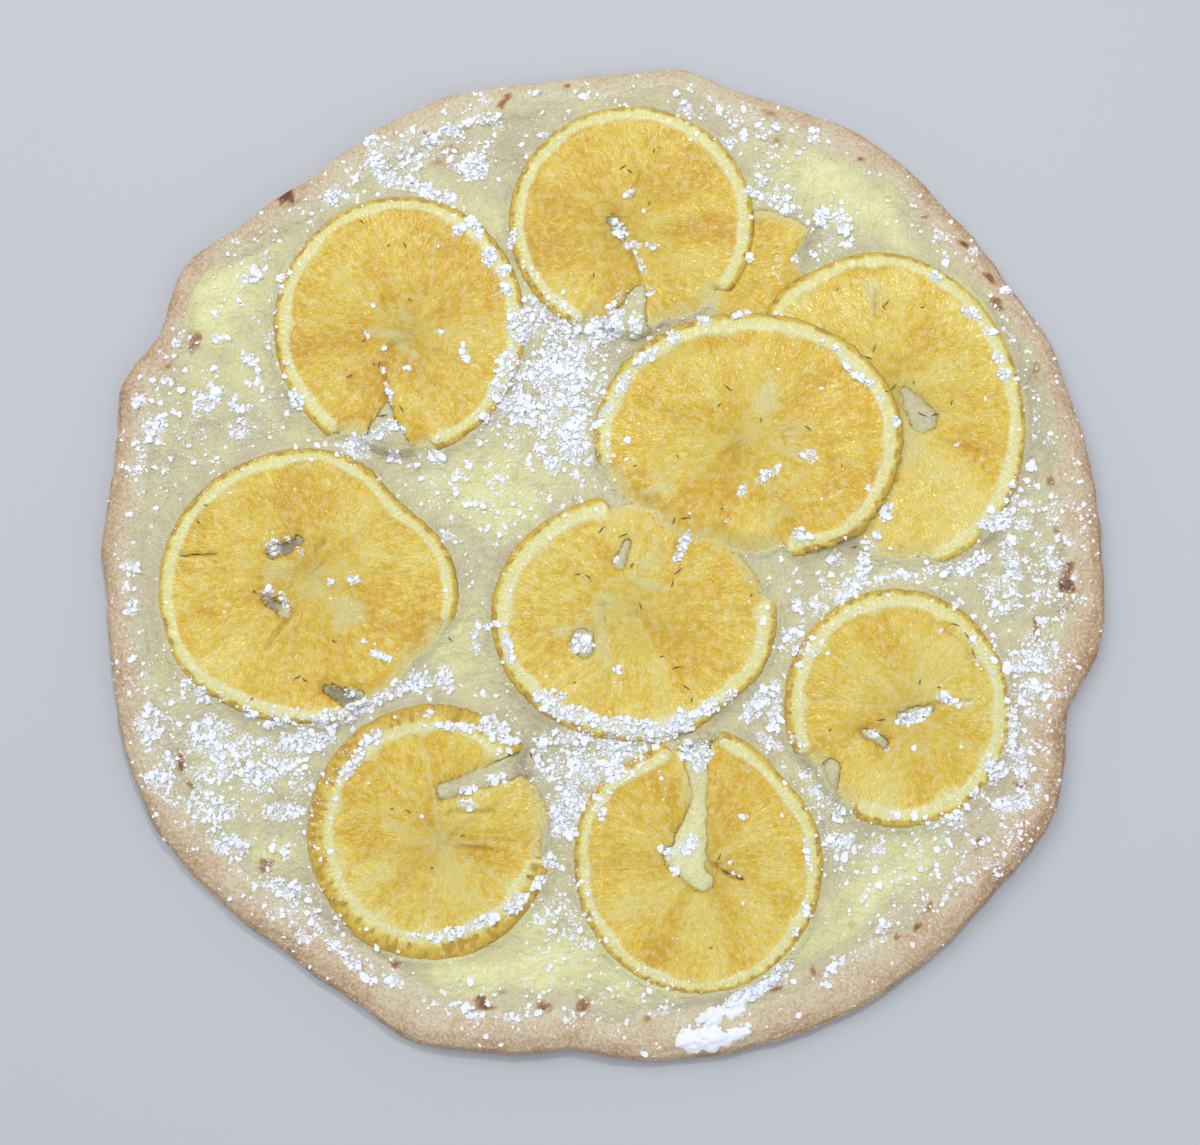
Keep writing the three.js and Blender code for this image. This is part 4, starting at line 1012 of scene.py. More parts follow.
def make_custard_material():
    """Baked custard cream: a satin skin, smooth enough for soft highlights."""
    material, tree, shader = new_material("baked_custard_cream")
    place = add(tree, PLACE, output="Object")
    # The fresh value also holds a little painted shade beside the slices.
    fresh, thin, shaded = (
        add(tree, PAINTED, output="Fac", attribute_name=name) for name in ("fresh", "thin", "shaded")
    )
    broad = add(tree, NOISE, {"Vector": place, "Scale": scale_of(26.3), "Detail": 2.0})
    clouds = add(tree, NOISE, {"Vector": place, "Scale": scale_of(7.7), "Detail": 5.0, "Roughness": 0.6})
    skin = add(tree, NOISE, {"Vector": place, "Scale": scale_of(3.33), "Detail": 3.0, "Distortion": 1.5})
    grain = add(tree, NOISE, {"Vector": place, "Scale": scale_of(1.25), "Detail": 3.0})
    wide_tone = add(tree, MATH, [broad, 0.8, fresh], operation="MULTIPLY_ADD")
    tone = add(tree, MATH, [clouds, wide_tone], operation="ADD")
    tone = add(tree, MATH, [tone, 0.65], operation="SUBTRACT")
    yellow = add(tree, MATH, [skin, 0.35, tone], operation="MULTIPLY_ADD")
    cream = add(tree, RAMP, [yellow], stops=[
        (0.2, "#c2b996"), (0.38, "#ccc49c"), (0.58, "#d5d09d"), (0.8, "#dfdc9f"), (1.0, "#eae8ab"),
    ])
    thin = add(tree, MATH, [clouds, 0.8, thin], operation="MULTIPLY_ADD")
    thin = add(tree, RANGE, [thin, 0.4, 1.3, 0.0, 0.9])
    cream = add(tree, MIX, {0: thin, 6: cream, 7: "#cfc3a1"}, 2, data_type="RGBA")
    # Painted shade: the cream turns dark grey-brown in the holes and seams that the shaded value marks.
    dark = add(tree, MATH, [clouds, 0.4, shaded], operation="MULTIPLY_ADD")
    dark = add(tree, RANGE, [dark, 0.45, 0.95, 0.0, 0.85])
    cream = add(tree, MIX, {0: dark, 6: cream, 7: "#8f8668"}, 2, data_type="RGBA")
    finished = with_sugar_film(tree, with_scorches(tree, cream, grain))
    tree.links.new(finished, shader.inputs["Base Color"])
    shader.inputs["Roughness"].default_value = 0.3
    height = add(tree, MATH, [clouds, 2.5, grain], operation="MULTIPLY_ADD")
    height = add(tree, MATH, [skin, 1.5, height], operation="MULTIPLY_ADD")
    bump = add(tree, BUMP, {"Height": height, "Strength": 0.7, "Distance": 0.8 * MM})
    tree.links.new(bump, shader.inputs["Normal"])
    return material


custard_material = make_custard_material()
ground.append(add_piece("custard_cream", custard_mesh, custard_material, "custard_cream", "custard_layer"))

# %% [markdown]
# ## The slices of orange
#
# A baked slice is a limp sheet: a dimpled peel at the edge, a ring of pale pith that stands highest, and
# flesh that has sunk between them. The flesh is in segments with thin walls, filled with juice sacs that
# all point at the core. A spun disc of rings and sectors makes the sheet, where a square grid would
# leave steps along the round edge. Faces inside a tear are taken away, after the vertices beside it are
# drawn to its edge, which leaves cleaner edges than cutting with another solid. The sheet is then
# extruded into a closed slab and its top gets the relief as heights. Where the rind has come away, the
# slice thins out onto what is under it.

# %% Model the slices
SLICE_SECTORS = 480
SINK = 0.3  # how far a limp edge sinks into the cream
GLANDS = 165  # oil glands round the peel


def only(kind, items):
    """The points or the faces among what an extrusion made."""
    return [item for item in items if isinstance(item, kind)]


def slice_rings():
    """Shares of the radius, close together in the rind and wider apart in the flesh."""
    flesh = [0.86 * (i / 30) ** 0.9 for i in range(31)]
    return flesh + [0.86 + 0.14 * i / 13 for i in range(1, 14)]


def draw_to_edge(fruit, x, y):
    """Moves the vertices beside a tear onto its edge, so that the edge is clean."""
    step = 0.05
    off = outside_tears(fruit, x, y)
    slope_x = (outside_tears(fruit, x + step, y) - off) / step
    slope_y = (outside_tears(fruit, x, y + step) - off) / step
    steep = np.maximum(slope_x**2 + slope_y**2, 0.2)
    near = np.abs(off) < 0.38
    return np.where(near, x - off * slope_x / steep, x), np.where(near, y - off * slope_y / steep, y)


def tear_open(bm, fruit):
    points = np.array([vert.co[:] for vert in bm.verts])
    off = outside_tears(fruit, points[:, 0], points[:, 1])
    for vert, inside in zip(bm.verts, off < 0.02):
        vert.tag = bool(inside)
    torn = [face for face in bm.faces if all(vert.tag for vert in face.verts)]
    bmesh.ops.delete(bm, geom=torn, context="FACES")
    loose = [vert for vert in bm.verts if not vert.link_faces]
    bmesh.ops.delete(bm, geom=loose, context="VERTS")


def slice_heights(fruit, dx, dy, seed):
    """Height of the top above the underside, and the values that the material reads."""
    thick = fruit.get("thick", SLICE_THICK)
    direction, reach = direction_of(dx, dy), np.hypot(dx, dy)
    bare = bareness(fruit, direction)
    inset = slice_radius(fruit, direction) - reach
    peel, pith = fruit.get("peel", PEEL), fruit.get("pith", PITH)
    rind = peel + pith * (1 + 0.3 * spoke_lumps(direction, reach * 0, 9, 1.0, seed + 9))
    rind += 0.35 * spoke_lumps(direction, reach * 0, 41, 1.0, seed + 13)
    core_x, core_y = dx - fruit["core"][0], dy - fruit["core"][1]
    around, spoke = direction_of(core_x, core_y), np.hypot(core_x, core_y)
    wobble = 5 * spoke_lumps(around, spoke, 18, 22, seed) + 2.5 * spoke_lumps(around, spoke, 9, 6, seed + 1)
    turns = (around + wobble) * fruit["segments"] / 360
    to_wall = np.abs(turns - np.round(turns)) * 2 * math.pi / fruit["segments"] * spoke
    bite = fruit["bite"] * np.exp(-((to_wall / 2.4) ** 2))
    in_flesh = smoothstep(inset + bare * rind, rind - 0.8 + bite, rind + 1.0 + bite)
    dome = 0.3 * np.sin(np.clip(to_wall / 6, 0, 1) * math.pi / 2)
    swayed = (around + 6 * spoke_lumps(around, spoke, 24, 9, seed + 2)) % 360
    sacs = spoke_lumps(swayed, spoke, 90, 4, seed + 3) + 0.6 * spoke_lumps(swayed, spoke, 170, 2.5, seed + 4)
    folds = spoke_lumps(around, spoke, 21, 20, seed + 5) + 0.5 * lumps(dx, dy, 6, seed + 6)
    fine = smoothstep(spoke, 4, 16)
    flesh_z = 0.8 * thick + dome + 0.14 * sacs * fine + 0.26 * folds - 0.3 * np.exp(-((spoke / 5) ** 2))
    flesh_z += 0.12 * lumps(dx, dy, 2.4, seed + 14)
    glands = spoke_lumps(direction, np.maximum(inset, 0) * 0.5, GLANDS, 1.0, seed + 7)
    in_peel = 1 - smoothstep(inset, peel - 0.4, peel + 0.4)
    rind_z = thick * (1 - 0.6 * np.exp(-inset / 0.9)) + 0.34 * glands * in_peel
    rind_z += 0.2 * lumps(dx, dy, 2.5, seed + 8) * (1 - in_peel)
    height = rind_z + (flesh_z - rind_z) * in_flesh
    off, crack = outside_tears(fruit, dx, dy), crack_distance(fruit, dx, dy)
    height -= 1.2 * np.exp(-np.clip(off, 0, 9) / 1.1) * (0.3 + 0.7 * (thick > 2.5))
    height -= 1.0 * np.exp(-((np.clip(crack, 0, 9) / 0.45) ** 2))
    x, y = dx + fruit["at"][0], dy + fruit["at"][1]
    pale = pool_field(x + 1.6 * lumps(x, y, 3, 73), y + 1.6 * lumps(x, y, 3, 74), PALE_PULP)
    height += 0.3 * pale * in_flesh
    patchy = 0.5 + 0.5 * spoke_lumps(around, spoke, 13, 9, seed + 10)
    fading = bare * (1 - smoothstep(inset, 0, 7)) * (0.8 + 0.4 * lumps(x, y, 4, seed + 15))
    per_segment = spoke_lumps(around, spoke, fruit["segments"], 40, seed + 11)
    tone = 0.4 * folds + 0.3 * per_segment + fruit.get("light", 0)
    spread = spoke + 8
    # Painted shade: the flesh is darker along the segment walls of slices whose walls show faintly, in the
    # creases there.
    crease_shade = smoothstep(patchy, 0.35, 0.6) * np.exp(-((to_wall / 0.55) ** 2)) * (1 - fruit["walls"])
    values = {
        "rind": np.where(inset < peel, inset / peel, 1 + (inset - peel) / pith) + 3 * bare,
        "wall": in_flesh * fruit["walls"] * (0.6 + 0.9 * patchy) * np.exp(-((to_wall / 0.5) ** 2)),
        "tear": np.minimum(off, crack),
        "flesh": in_flesh,
        "pale": np.maximum(np.maximum(pale, fading), 0.5 * (1 - smoothstep(spoke, 1, 4)) * patchy),
        "tone": tone - 0.4 * crease_shade * smoothstep(spoke, 2, 8),
        "teeth": -glands * in_peel,
        "sugar": gathered_share(x, y),
        "fibre": np.column_stack((22 * core_x / spread, 22 * core_y / spread, 0.2 * spoke + seed)),
    }
    return np.maximum(height, 0.5), values


def model_slice(name, fruit, disc, seed):
    mesh = disc.copy()
    x, y, z = read_points(mesh).T
    share, direction = np.hypot(x, y), direction_of(x, y)
    teeth = 0.6 * spoke_lumps(direction, share * 0, GLANDS, 1.0, seed + 7) * smoothstep(share, 0.95, 1)
    reach = share * (slice_radius(fruit, direction) + teeth * (1 - bareness(fruit, direction)))
    dx, dy = reach * np.cos(np.radians(direction)), reach * np.sin(np.radians(direction))
    dx, dy = draw_to_edge(fruit, dx, dy)
    write_points(mesh, dx, dy, z)
    bm = bmesh.new()
    bm.from_mesh(mesh)
    if fruit["tears"] or "under" in fruit:
        tear_open(bm, fruit)
    raised = bmesh.ops.extrude_face_region(bm, geom=bm.faces[:], use_keep_orig=True)["geom"]
    bmesh.ops.translate(bm, verts=only(bmesh.types.BMVert, raised), vec=(0, 0, 1))
    bpy.data.meshes.remove(mesh)
    mesh = to_mesh(bm, f"orange_{name}")
    dx, dy, z = read_points(mesh).T
    x, y = dx + fruit["at"][0], dy + fruit["at"][1]
    top, values = slice_heights(fruit, dx, dy, seed)
    sag = 0.22 * lumps(x, y, 17, 41) + 0.1 * lumps(x, y, 8, 42)
    size = slice_radius(fruit, direction_of(dx, dy))
    inset = size - np.hypot(dx, dy)
    low = SEAT + lift_at(fruit, x, y)
    high = low + top + sag
    thinned = bareness(fruit, direction_of(dx, dy)) * (1 - smoothstep(inset, 0.3, 7))
    limp = 1 - smoothstep(inset, 1, 14) if "over" in fruit else np.zeros_like(x)
    resting = np.maximum(thinned, limp) > 0
    below = low - SINK
    below[resting] = np.maximum(surface_heights(x[resting], y[resting])[0], SEAT + 1)
    drop = 0.75 * np.clip(low - below - SINK, 0, 4) * limp
    low += (below - SINK - low + drop) * thinned - drop
    high += (below - 0.1 + 0.6 * smoothstep(inset, 0, 4) - high + drop) * thinned - drop
    tuck = np.where(z > 0.5, 0, 0.035 * smoothstep(inset / size, 0.03, 0))
    write_points(mesh, x - dx * tuck, y - dy * tuck, np.where(z > 0.5, high, low))
    for key, value in values.items():
        paint(mesh, key, value)
    finish_mesh(mesh)
    return mesh


print(len(slice_rings()), "rings and", SLICE_SECTORS, "sectors in each slice")

# %% [markdown]
# ### The slices' finish
#
# Baked orange flesh is wet and partly clear, so it shows small sharp highlights and a golden colour that
# is deeper where it is thick. Pith is matt and pale. Peel is a waxy yellow with tiny oil glands that are
# darker between. The mesh gives the place in the rind, 0 at the edge, 1 where the pith starts and 2
# where it ends, and noise with lumps of 2.3 mm keeps the borders uneven. The juice sacs are a noise in
# the mesh's own fibre space, which is stretched toward the core, so its scales count cells in that space.
# Painted highlights, glints on the wet skins of the sacs, are curly bright lines where a second such
# noise crosses its middle value. One colour per slice would be quicker, but the flesh would look flat.

# %% Baked orange


def make_orange_material():
    """Baked orange: wet flesh with soft highlights, matt pith and waxy peel."""
    material, tree, shader = new_material("baked_orange_slice")
    place = add(tree, PLACE, output="Object")
    fibre = add(tree, PAINTED, output="Vector", attribute_name="fibre")
    tear, in_flesh, tone, wall, pale, rind, teeth = (
        add(tree, PAINTED, output="Fac", attribute_name=name)
        for name in ("tear", "flesh", "tone", "wall", "pale", "rind", "teeth")
    )
    sacs = add(tree, NOISE, {"Vector": fibre, "Scale": 1.3, "Detail": 2.0, "Distortion": 1.0})
    curls = add(tree, NOISE, {"Vector": fibre, "Scale": 2.2, "Detail": 2.0, "Distortion": 1.4})
    grain = add(tree, NOISE, {"Vector": place, "Scale": scale_of(1.92), "Detail": 2.0, "Distortion": 1.6})
    clouds = add(tree, NOISE, {"Vector": place, "Scale": scale_of(9.1), "Detail": 3.0})
    ragged = add(tree, NOISE, {"Vector": place, "Scale": scale_of(2.33), "Detail": 4.0})

    lit = add(tree, MATH, [grain, 0.3, -0.13], operation="MULTIPLY_ADD")
    lit = add(tree, MATH, [sacs, 0.6, lit], operation="MULTIPLY_ADD")
    depth = add(tree, MATH, [clouds, 0.5, lit], operation="MULTIPLY_ADD")
    depth = add(tree, MATH, [tone, 0.35, depth], operation="MULTIPLY_ADD")
    flesh = add(tree, RAMP, [depth], stops=[
        (0.36, "#e0b038"), (0.48, "#e8bd3f"), (0.57, "#edc749"), (0.66, "#f0d158"), (0.8, "#f4de7a"),
    ])
    # Painted highlights: curly bright lines, shown in patches, stand in for glints on the wet sacs.
    ridge = add(tree, MATH, [add(tree, MATH, [curls, 0.5], operation="SUBTRACT")], operation="ABSOLUTE")
    glint_lines = add(tree, RANGE, [ridge, 0.075, 0.02])
    patchy = add(tree, RANGE, [ragged, 0.48, 0.6, 0.0, 0.85])
    painted_glints = add(tree, MATH, [glint_lines, patchy], operation="MULTIPLY")
    flesh = add(tree, MIX, {0: painted_glints, 6: flesh, 7: "#f6eaa6"}, 2, data_type="RGBA")
    walls = add(tree, MATH, [wall, add(tree, RANGE, [ragged, 0.3, 0.52])], operation="MULTIPLY")
    flesh = add(tree, MIX, {0: walls, 6: flesh, 7: "#ecdf98"}, 2, data_type="RGBA")
    dried = add(tree, MATH, [ragged, 0.7, pale], operation="MULTIPLY_ADD")
    dried = add(tree, RANGE, [dried, 0.5, 1.05, 0.0, 0.8])
    flesh = add(tree, MIX, {0: dried, 6: flesh, 7: "#eadf98"}, 2, data_type="RGBA")

    edge = add(tree, MATH, [rind, 0.45], operation="SUBTRACT")
    edge = add(tree, MATH, [ragged, 0.9, edge], operation="MULTIPLY_ADD")
    peel = add(tree, RAMP, [add(tree, RANGE, [edge, -0.2, 2.4])], stops=[
        (0.0, "#d3ad42"), (0.2, "#dfba4a"), (0.38, "#e6cb5a"),
        (0.5, "#f2e994"), (0.8, "#f6f1b6"), (1.0, "#efe190"),
    ])
    pores = add(tree, RANGE, [teeth, 0.0, 0.45, 0.0, 0.8])
    peel = add(tree, MIX, {0: pores, 6: peel, 7: "#c3983a"}, 2, data_type="RGBA")
    inner = add(tree, MATH, [ragged, 0.9, in_flesh], operation="MULTIPLY_ADD")
    inner = add(tree, RANGE, [inner, 0.6, 1.25])
    skin = add(tree, MIX, {0: inner, 6: peel, 7: flesh}, 2, data_type="RGBA")
    # Painted shade: a darker brown along the edges of tears and in the cracks.
    whole = add(tree, MATH, [ragged, 0.8, tear], operation="MULTIPLY_ADD")
    whole = add(tree, RANGE, [whole, 0.3, 0.6, 0.6, 1.0])
    skin = add(tree, MIX, {0: whole, 6: "#b8924a", 7: skin}, 2, data_type="RGBA")
    tree.links.new(with_sugar_film(tree, skin), shader.inputs["Base Color"])

    tree.links.new(add(tree, RANGE, [in_flesh, 0.0, 1.0, 0.5, 0.2]), shader.inputs["Roughness"])
    wet = add(tree, MATH, [grain, 0.8, glint_lines], operation="MULTIPLY_ADD")
    wet = add(tree, MATH, [sacs, 1.2, wet], operation="MULTIPLY_ADD")
    bump = add(tree, BUMP, {"Height": wet, "Strength": 0.55, "Distance": 0.5 * MM})
    tree.links.new(bump, shader.inputs["Normal"])
    return material


orange_material = make_orange_material()
print(len(orange_material.node_tree.nodes), "nodes in the orange's material")

# %% [markdown]
# ### Making the slices
#
# The slices are made one after the other in the order of the table, as a later one lies on those before.

# %% Make the slices
disc = to_mesh(spun([(share, 0) for share in slice_rings()], SLICE_SECTORS), "slice_disc")
for i, (name, fruit) in enumerate(SLICES.items()):
    node = "orange_scrap" if name == "scrap" else f"orange_slice_{name}"
    slice_mesh = model_slice(name, fruit, disc, 100 + 20 * i)
    ground.append(add_piece(f"baked_{node}", slice_mesh, orange_material, "baked_orange", node))
bpy.data.meshes.remove(disc)
print("pieces on the ground:", len(ground))

# %% [markdown]
# ## Burnt fibres
#
# The oven has burnt a few loose fibres of the flesh to thin dark threads, one to four millimetres long.
# Curves with a bevel would do, but a tube of few faces is lighter: a small circle is extruded in six
# steps along a line. All the threads are copies of it, bent, laid at listed places and joined in one mesh.

# %% Model the burnt fibres
FIBRES = [  # x, y, turn in degrees, length
    (-70.6, 96.8, -40, 1.8), (-62.5, 89.7, 35, 1.2), (-57.9, 89.7, -70, 2.2), (-56.2, 73.3, -50, 1.4),
    (-69.5, 61.2, 50, 1.6), (-64.7, 54, 80, 2.2), (-66.4, 54, -60, 1.4), (-73.4, 50.6, 20, 2),
    (-63.7, 39.2, 8, 3.2), (-58.3, 40.7, -60, 2.4), (-120.2, -2, 0, 4), (-116.4, -2, 1, 4.4),
    (-112.6, -1.9, 2, 3.6), (-99.5, -12.6, -35, 2.4), (-86.6, -37, 30, 2.6), (-84.4, -37.8, -30, 2),
    (-76.4, -26.8, -20, 1.6), (-114, 12.5, -20, 1.4), (-116.1, 7.5, -50, 1.2), (-99.3, -43.3, 40, 1.4),
    (-43.5, -26.3, -40, 2), (-59.1, -74.2, 30, 1), (-54.4, -75.1, -40, 1.8), (-39.1, -81.8, 30, 1.4),
    (-47.6, -90.8, 20, 0.9), (-20.6, -93.1, 0, 1), (-20.1, -59.2, -75, 1.8), (32, -89.4, -55, 3),
    (35.2, -91.6, -22, 4), (39, -93.4, -20, 3.4), (33, -87.6, 60, 2), (30.6, -112.6, 20, 1.2),
    (90.8, -38.6, 85, 1.8), (79.5, -49.2, 10, 2.4), (96.1, -40, 0, 1), (64.9, -52.1, 50, 1.2),
    (101, -22.4, -15, 3), (104.6, -25.4, -50, 3), (106.3, -30.3, -75, 3), (69, 76.4, 25, 1.4),
    (83.5, 72.7, 50, 2.6), (82.6, 71.2, -60, 1.4), (79.7, 58.7, 70, 2.8), (77.9, 55.8, -25, 2.2),
    (82.4, 45.2, 20, 1.6), (85, 47.4, 45, 3), (90.9, 48.7, -60, 1.2), (101.7, 42.5, 75, 2),
    (93.4, 39.4, -25, 3), (97, 39, 10, 2.6), (69, 23.3, 80, 1), (73.2, 0.6, 20, 1.6), (93.9, 71.1, 0, 1),
    (20.7, 7.8, 70, 2.4), (24, 8.2, 5, 2.8), (8.8, -5.2, 50, 1.8), (22.1, -6.6, 40, 3.2),
    (20.2, -10.2, 75, 2.4), (-3.8, -8.7, -45, 2.6), (-6.8, -7.4, 5, 1.8), (11, -16.9, -70, 2.2),
    (17.3, -31.3, 10, 1.2), (21.4, -34.7, 15, 3), (24.2, -40, -35, 2.8), (25.8, -43.6, 80, 1.6),
    (-7.7, -38.8, 0, 1), (43, -13.6, 60, 1.4), (34.6, 11.2, 0, 1), (0.1, 5.3, 50, 3), (6.4, 3.6, 25, 3.4),
    (34.3, 41.9, 50, 1.6), (37, 47, -40, 3), (46, 36.8, 85, 1.4), (59.6, 34.3, -35, 2.4),
    (22.1, 26.8, -60, 1.2), (9.7, 23.9, 0, 0.9), (6.4, 113.6, 30, 2.6), (8.4, 112.4, -40, 2.2),
    (15.6, 118.6, 80, 2), (-2.4, 80.6, 85, 1.8), (14, 102.6, 80, 1.4),
]

THREAD_STEPS = 6
THREAD = 0.15  # half-width of a thread


def points_and_faces(bm):
    """A small solid as arrays of points and of triangles, to be copied many times."""
    bmesh.ops.triangulate(bm, faces=bm.faces)
    bmesh.ops.recalc_face_normals(bm, faces=bm.faces)
    bm.verts.index_update()
    points = np.array([vert.co[:] for vert in bm.verts])
    faces = np.array([[vert.index for vert in face.verts] for face in bm.faces])
    bm.free()
    return points, faces


def thread_template():
    """A bent thread, one long and with a radius of one, as points and faces."""
    bm = bmesh.new()
    ring = bmesh.ops.create_circle(bm, cap_ends=True, segments=5, radius=1.0)["verts"]
    bmesh.ops.rotate(bm, verts=ring, cent=(0, 0, 0), matrix=Matrix.Rotation(math.pi / 2, 3, "Y"))
    bmesh.ops.translate(bm, verts=ring, vec=(-0.5, 0, 0))
    face = bm.faces[:]
    for _ in range(THREAD_STEPS):
        made = bmesh.ops.extrude_face_region(bm, geom=face)["geom"]
        bmesh.ops.translate(bm, verts=only(bmesh.types.BMVert, made), vec=(1 / THREAD_STEPS, 0, 0))
        face = only(bmesh.types.BMFace, made)
    return points_and_faces(bm)


def joined_mesh(name, points, faces):
    """One mesh from many copies: an array of each copy's points, and the faces that they all share."""
    copies, size = points.shape[0], points.shape[1]
    corners = (faces[None] + size * np.arange(copies)[:, None, None]).reshape(-1)
    mesh = bpy.data.meshes.new(name)
    mesh.vertices.add(copies * size)
    mesh.vertices.foreach_set("co", points.reshape(-1))
    mesh.loops.add(len(corners))
    mesh.loops.foreach_set("vertex_index", corners.astype(np.int32))
    mesh.polygons.add(len(corners) // 3)
    mesh.polygons.foreach_set("loop_start", np.arange(0, len(corners), 3, dtype=np.int32))
    mesh.update(calc_edges=True)
    return mesh


def model_fibres():
    shape, faces = thread_template()
    x, y, turn, length = np.array(FIBRES, dtype=float).T
    below, _ = surface_heights(x, y)
    bend = 0.35 * np.sin(3 * x) * length
    u, v, w = shape.T
    thin = THREAD * (1.15 - 1.6 * np.abs(u))
    along = length[:, None] * u
    sideways = bend[:, None] * (0.25 - u**2) * 1.4 + thin * v
    cos, sin = np.cos(np.radians(turn))[:, None], np.sin(np.radians(turn))[:, None]
    points = np.stack((
        x[:, None] + along * cos - sideways * sin,
        y[:, None] + along * sin + sideways * cos,
        below[:, None] + 0.14 + thin * w + 0.25 * (u + 0.5) * np.abs(np.sin(7 * y))[:, None],
    ), axis=-1)
    mesh = joined_mesh("burnt_fibres", points, faces)
    finish_mesh(mesh)
    return mesh


def make_char_material():
    """Burnt fruit fibre: nearly black, with a dull sheen."""
    material, tree, shader = new_material("burnt_orange_fibre")
    shader.inputs["Base Color"].default_value = colour("#55401f")
    shader.inputs["Roughness"].default_value = 0.6
    return material


char_material = make_char_material()
fibre_mesh = model_fibres()
add_piece("burnt_fibres", fibre_mesh, char_material, "baked_orange")

# %% [markdown]
# ## The icing sugar
#
# The sugar lies as grains and flat flakes that cling together. Each kind is a few small solids, copied
# thousands of times with their own turn, stretch and size. Geometry nodes could scatter them, but the
# copies are joined in one mesh, which is light and easy to count. The places come from the patches
# above: many random places are tried, and one is kept as often as its ground is covered. As grains
# overlap, their number is larger than the covered ground over the size of a grain. A ray from above
# finds the height of the ground there. Where much sugar lies, the grains pile up.

# %% Model the sugar grains
TRIES_PER_MM2 = 7.0
GRAIN_KINDS = [  # name, least and greatest size, number of sides
    ("sugar_powder", 0.25, 0.5, 4), ("sugar_fine_grains", 0.5, 0.8, 4), ("sugar_grains", 0.8, 1.2, 6),
    ("sugar_crumbs", 1.2, 1.8, 8), ("sugar_flakes", 1.8, 3.2, 10),
]
SEVERAL = 20  # shapes of each kind
FLAKE_SHARE = 0.24  # of all grains; the rest is powder
GRAIN_AREA = 0.42  # square millimetres that an average grain covers
FLAKE_SIZE, FLAKE_SPREAD = 1.12, 0.38
POWDER_SIZE, POWDER_SPREAD = 0.46, 0.34


def choose_places(rng):
    """Places and sizes of all grains, more where more ground is covered."""
    half = 150
    x, y = rng.uniform(-half, half, (2, int(TRIES_PER_MM2 * (2 * half) ** 2)))
    on_dough = np.hypot(x, y) < outline_at(direction_of(x, y)) - 0.5
    x, y = x[on_dough], y[on_dough]
    share = gathered_share(x, y)
    wanted = -np.log(1 - share) / GRAIN_AREA
    kept = rng.uniform(0, TRIES_PER_MM2, len(x)) < wanted
    x, y, share = x[kept], y[kept], share[kept]
    spread = rng.standard_normal(len(x))
    flake = rng.uniform(0, 1, len(x)) < FLAKE_SHARE
    flakes = FLAKE_SIZE * np.exp(FLAKE_SPREAD * spread)
    size = np.where(flake, flakes, POWDER_SIZE * np.exp(POWDER_SPREAD * spread))
    return x, y, share, np.clip(size, 0.25, 3.1)


def grain_shapes(sides, rng):
    """A few uneven solids with a width of one, as points, and the faces that they share."""
    bm = bmesh.new()
    if sides == 4:
        bmesh.ops.create_uvsphere(bm, u_segments=4, v_segments=2, radius=0.5)
    else:
        bmesh.ops.create_cone(bm, cap_ends=True, segments=sides, radius1=0.5, radius2=0.43, depth=0.26)
    points, faces = points_and_faces(bm)
    uneven = rng.uniform(0.65, 1.3, (SEVERAL, len(points), 1))
    if sides > 4:
        uneven = np.repeat(rng.uniform(0.45, 1.35, (SEVERAL, sides, 1)), 2, axis=1)
    return points[None] * uneven, faces


def turned_flat(count, tilt, rng):
    """Rotations as matrices: any turn about the vertical, and a tilt that is small for flat flakes."""
    half_turn = rng.uniform(0, math.pi, count)
    tilts = tilt * rng.standard_normal((2, count))
    q = np.stack((np.cos(half_turn), tilts[0], tilts[1], np.sin(half_turn)), axis=1)
    a, b, c, d = (q / np.linalg.norm(q, axis=1, keepdims=True)).T
    return np.stack((
        np.stack((1 - 2 * (c * c + d * d), 2 * (b * c - a * d), 2 * (b * d + a * c)), -1),
        np.stack((2 * (b * c + a * d), 1 - 2 * (b * b + d * d), 2 * (c * d - a * b)), -1),
        np.stack((2 * (b * d - a * c), 2 * (c * d + a * b), 1 - 2 * (b * b + c * c)), -1),
    ), 1)


def grain_mesh(name, sides, x, y, z, size, rng):
    shapes, faces = grain_shapes(sides, rng)
    count = len(x)
    shape = shapes[rng.integers(0, SEVERAL, count)] * rng.uniform(0.75, 1.25, (count, 1, 3))
    turns = turned_flat(count, 0.5 if sides == 4 else 0.1, rng)
    turned = np.einsum("nij,npj->npi", turns, shape) * size[:, None, None]
    turned[:, :, 2] *= 0.7 if sides == 4 else 1.0
    mesh = joined_mesh(name, turned + np.stack((x, y, z), -1)[:, None, :], faces)
    move_to_frame(mesh)
    mesh.shade_flat()
    return mesh


def make_sugar_material():
    """Icing sugar: a matt, very white powder that scatters light to all sides."""
    material, tree, shader = new_material("icing_sugar_powder")
    shader.inputs["Base Color"].default_value = colour("#f7faff")
    shader.inputs["Roughness"].default_value = 0.9
    shader.inputs["Specular IOR Level"].default_value = 0.2
    return material


sugar_material = make_sugar_material()
print(len(GRAIN_KINDS), "kinds of grain with", SEVERAL, "shapes each")

# %% [markdown]
# ### Drifts on the rim
#
# Where the sieve was tapped out, thick drifts lie on the lower rim. Each one is a few spheres pressed to
# low mounds with ragged outlines; a heap of grains alone would take far more faces. They are made before
# the grains, so that grains lie on them too.

# %% Model the drifts
DRIFTS = [  # middle, two half-widths, turn, height
    (24.5, -138.5, 4.6, 3.4, 0, 1.2), (31, -137.5, 5, 3.8, -10, 1.4), (37.5, -136.5, 3.6, 2, 10, 1.0),
    (31, -131.5, 5, 2.6, 25, 1.3), (37, -129, 4.4, 3, 35, 1.3), (42, -125.5, 5.4, 1.7, 22, 1.0),
    (47, -122, 4, 1.3, 30, 0.8),
]


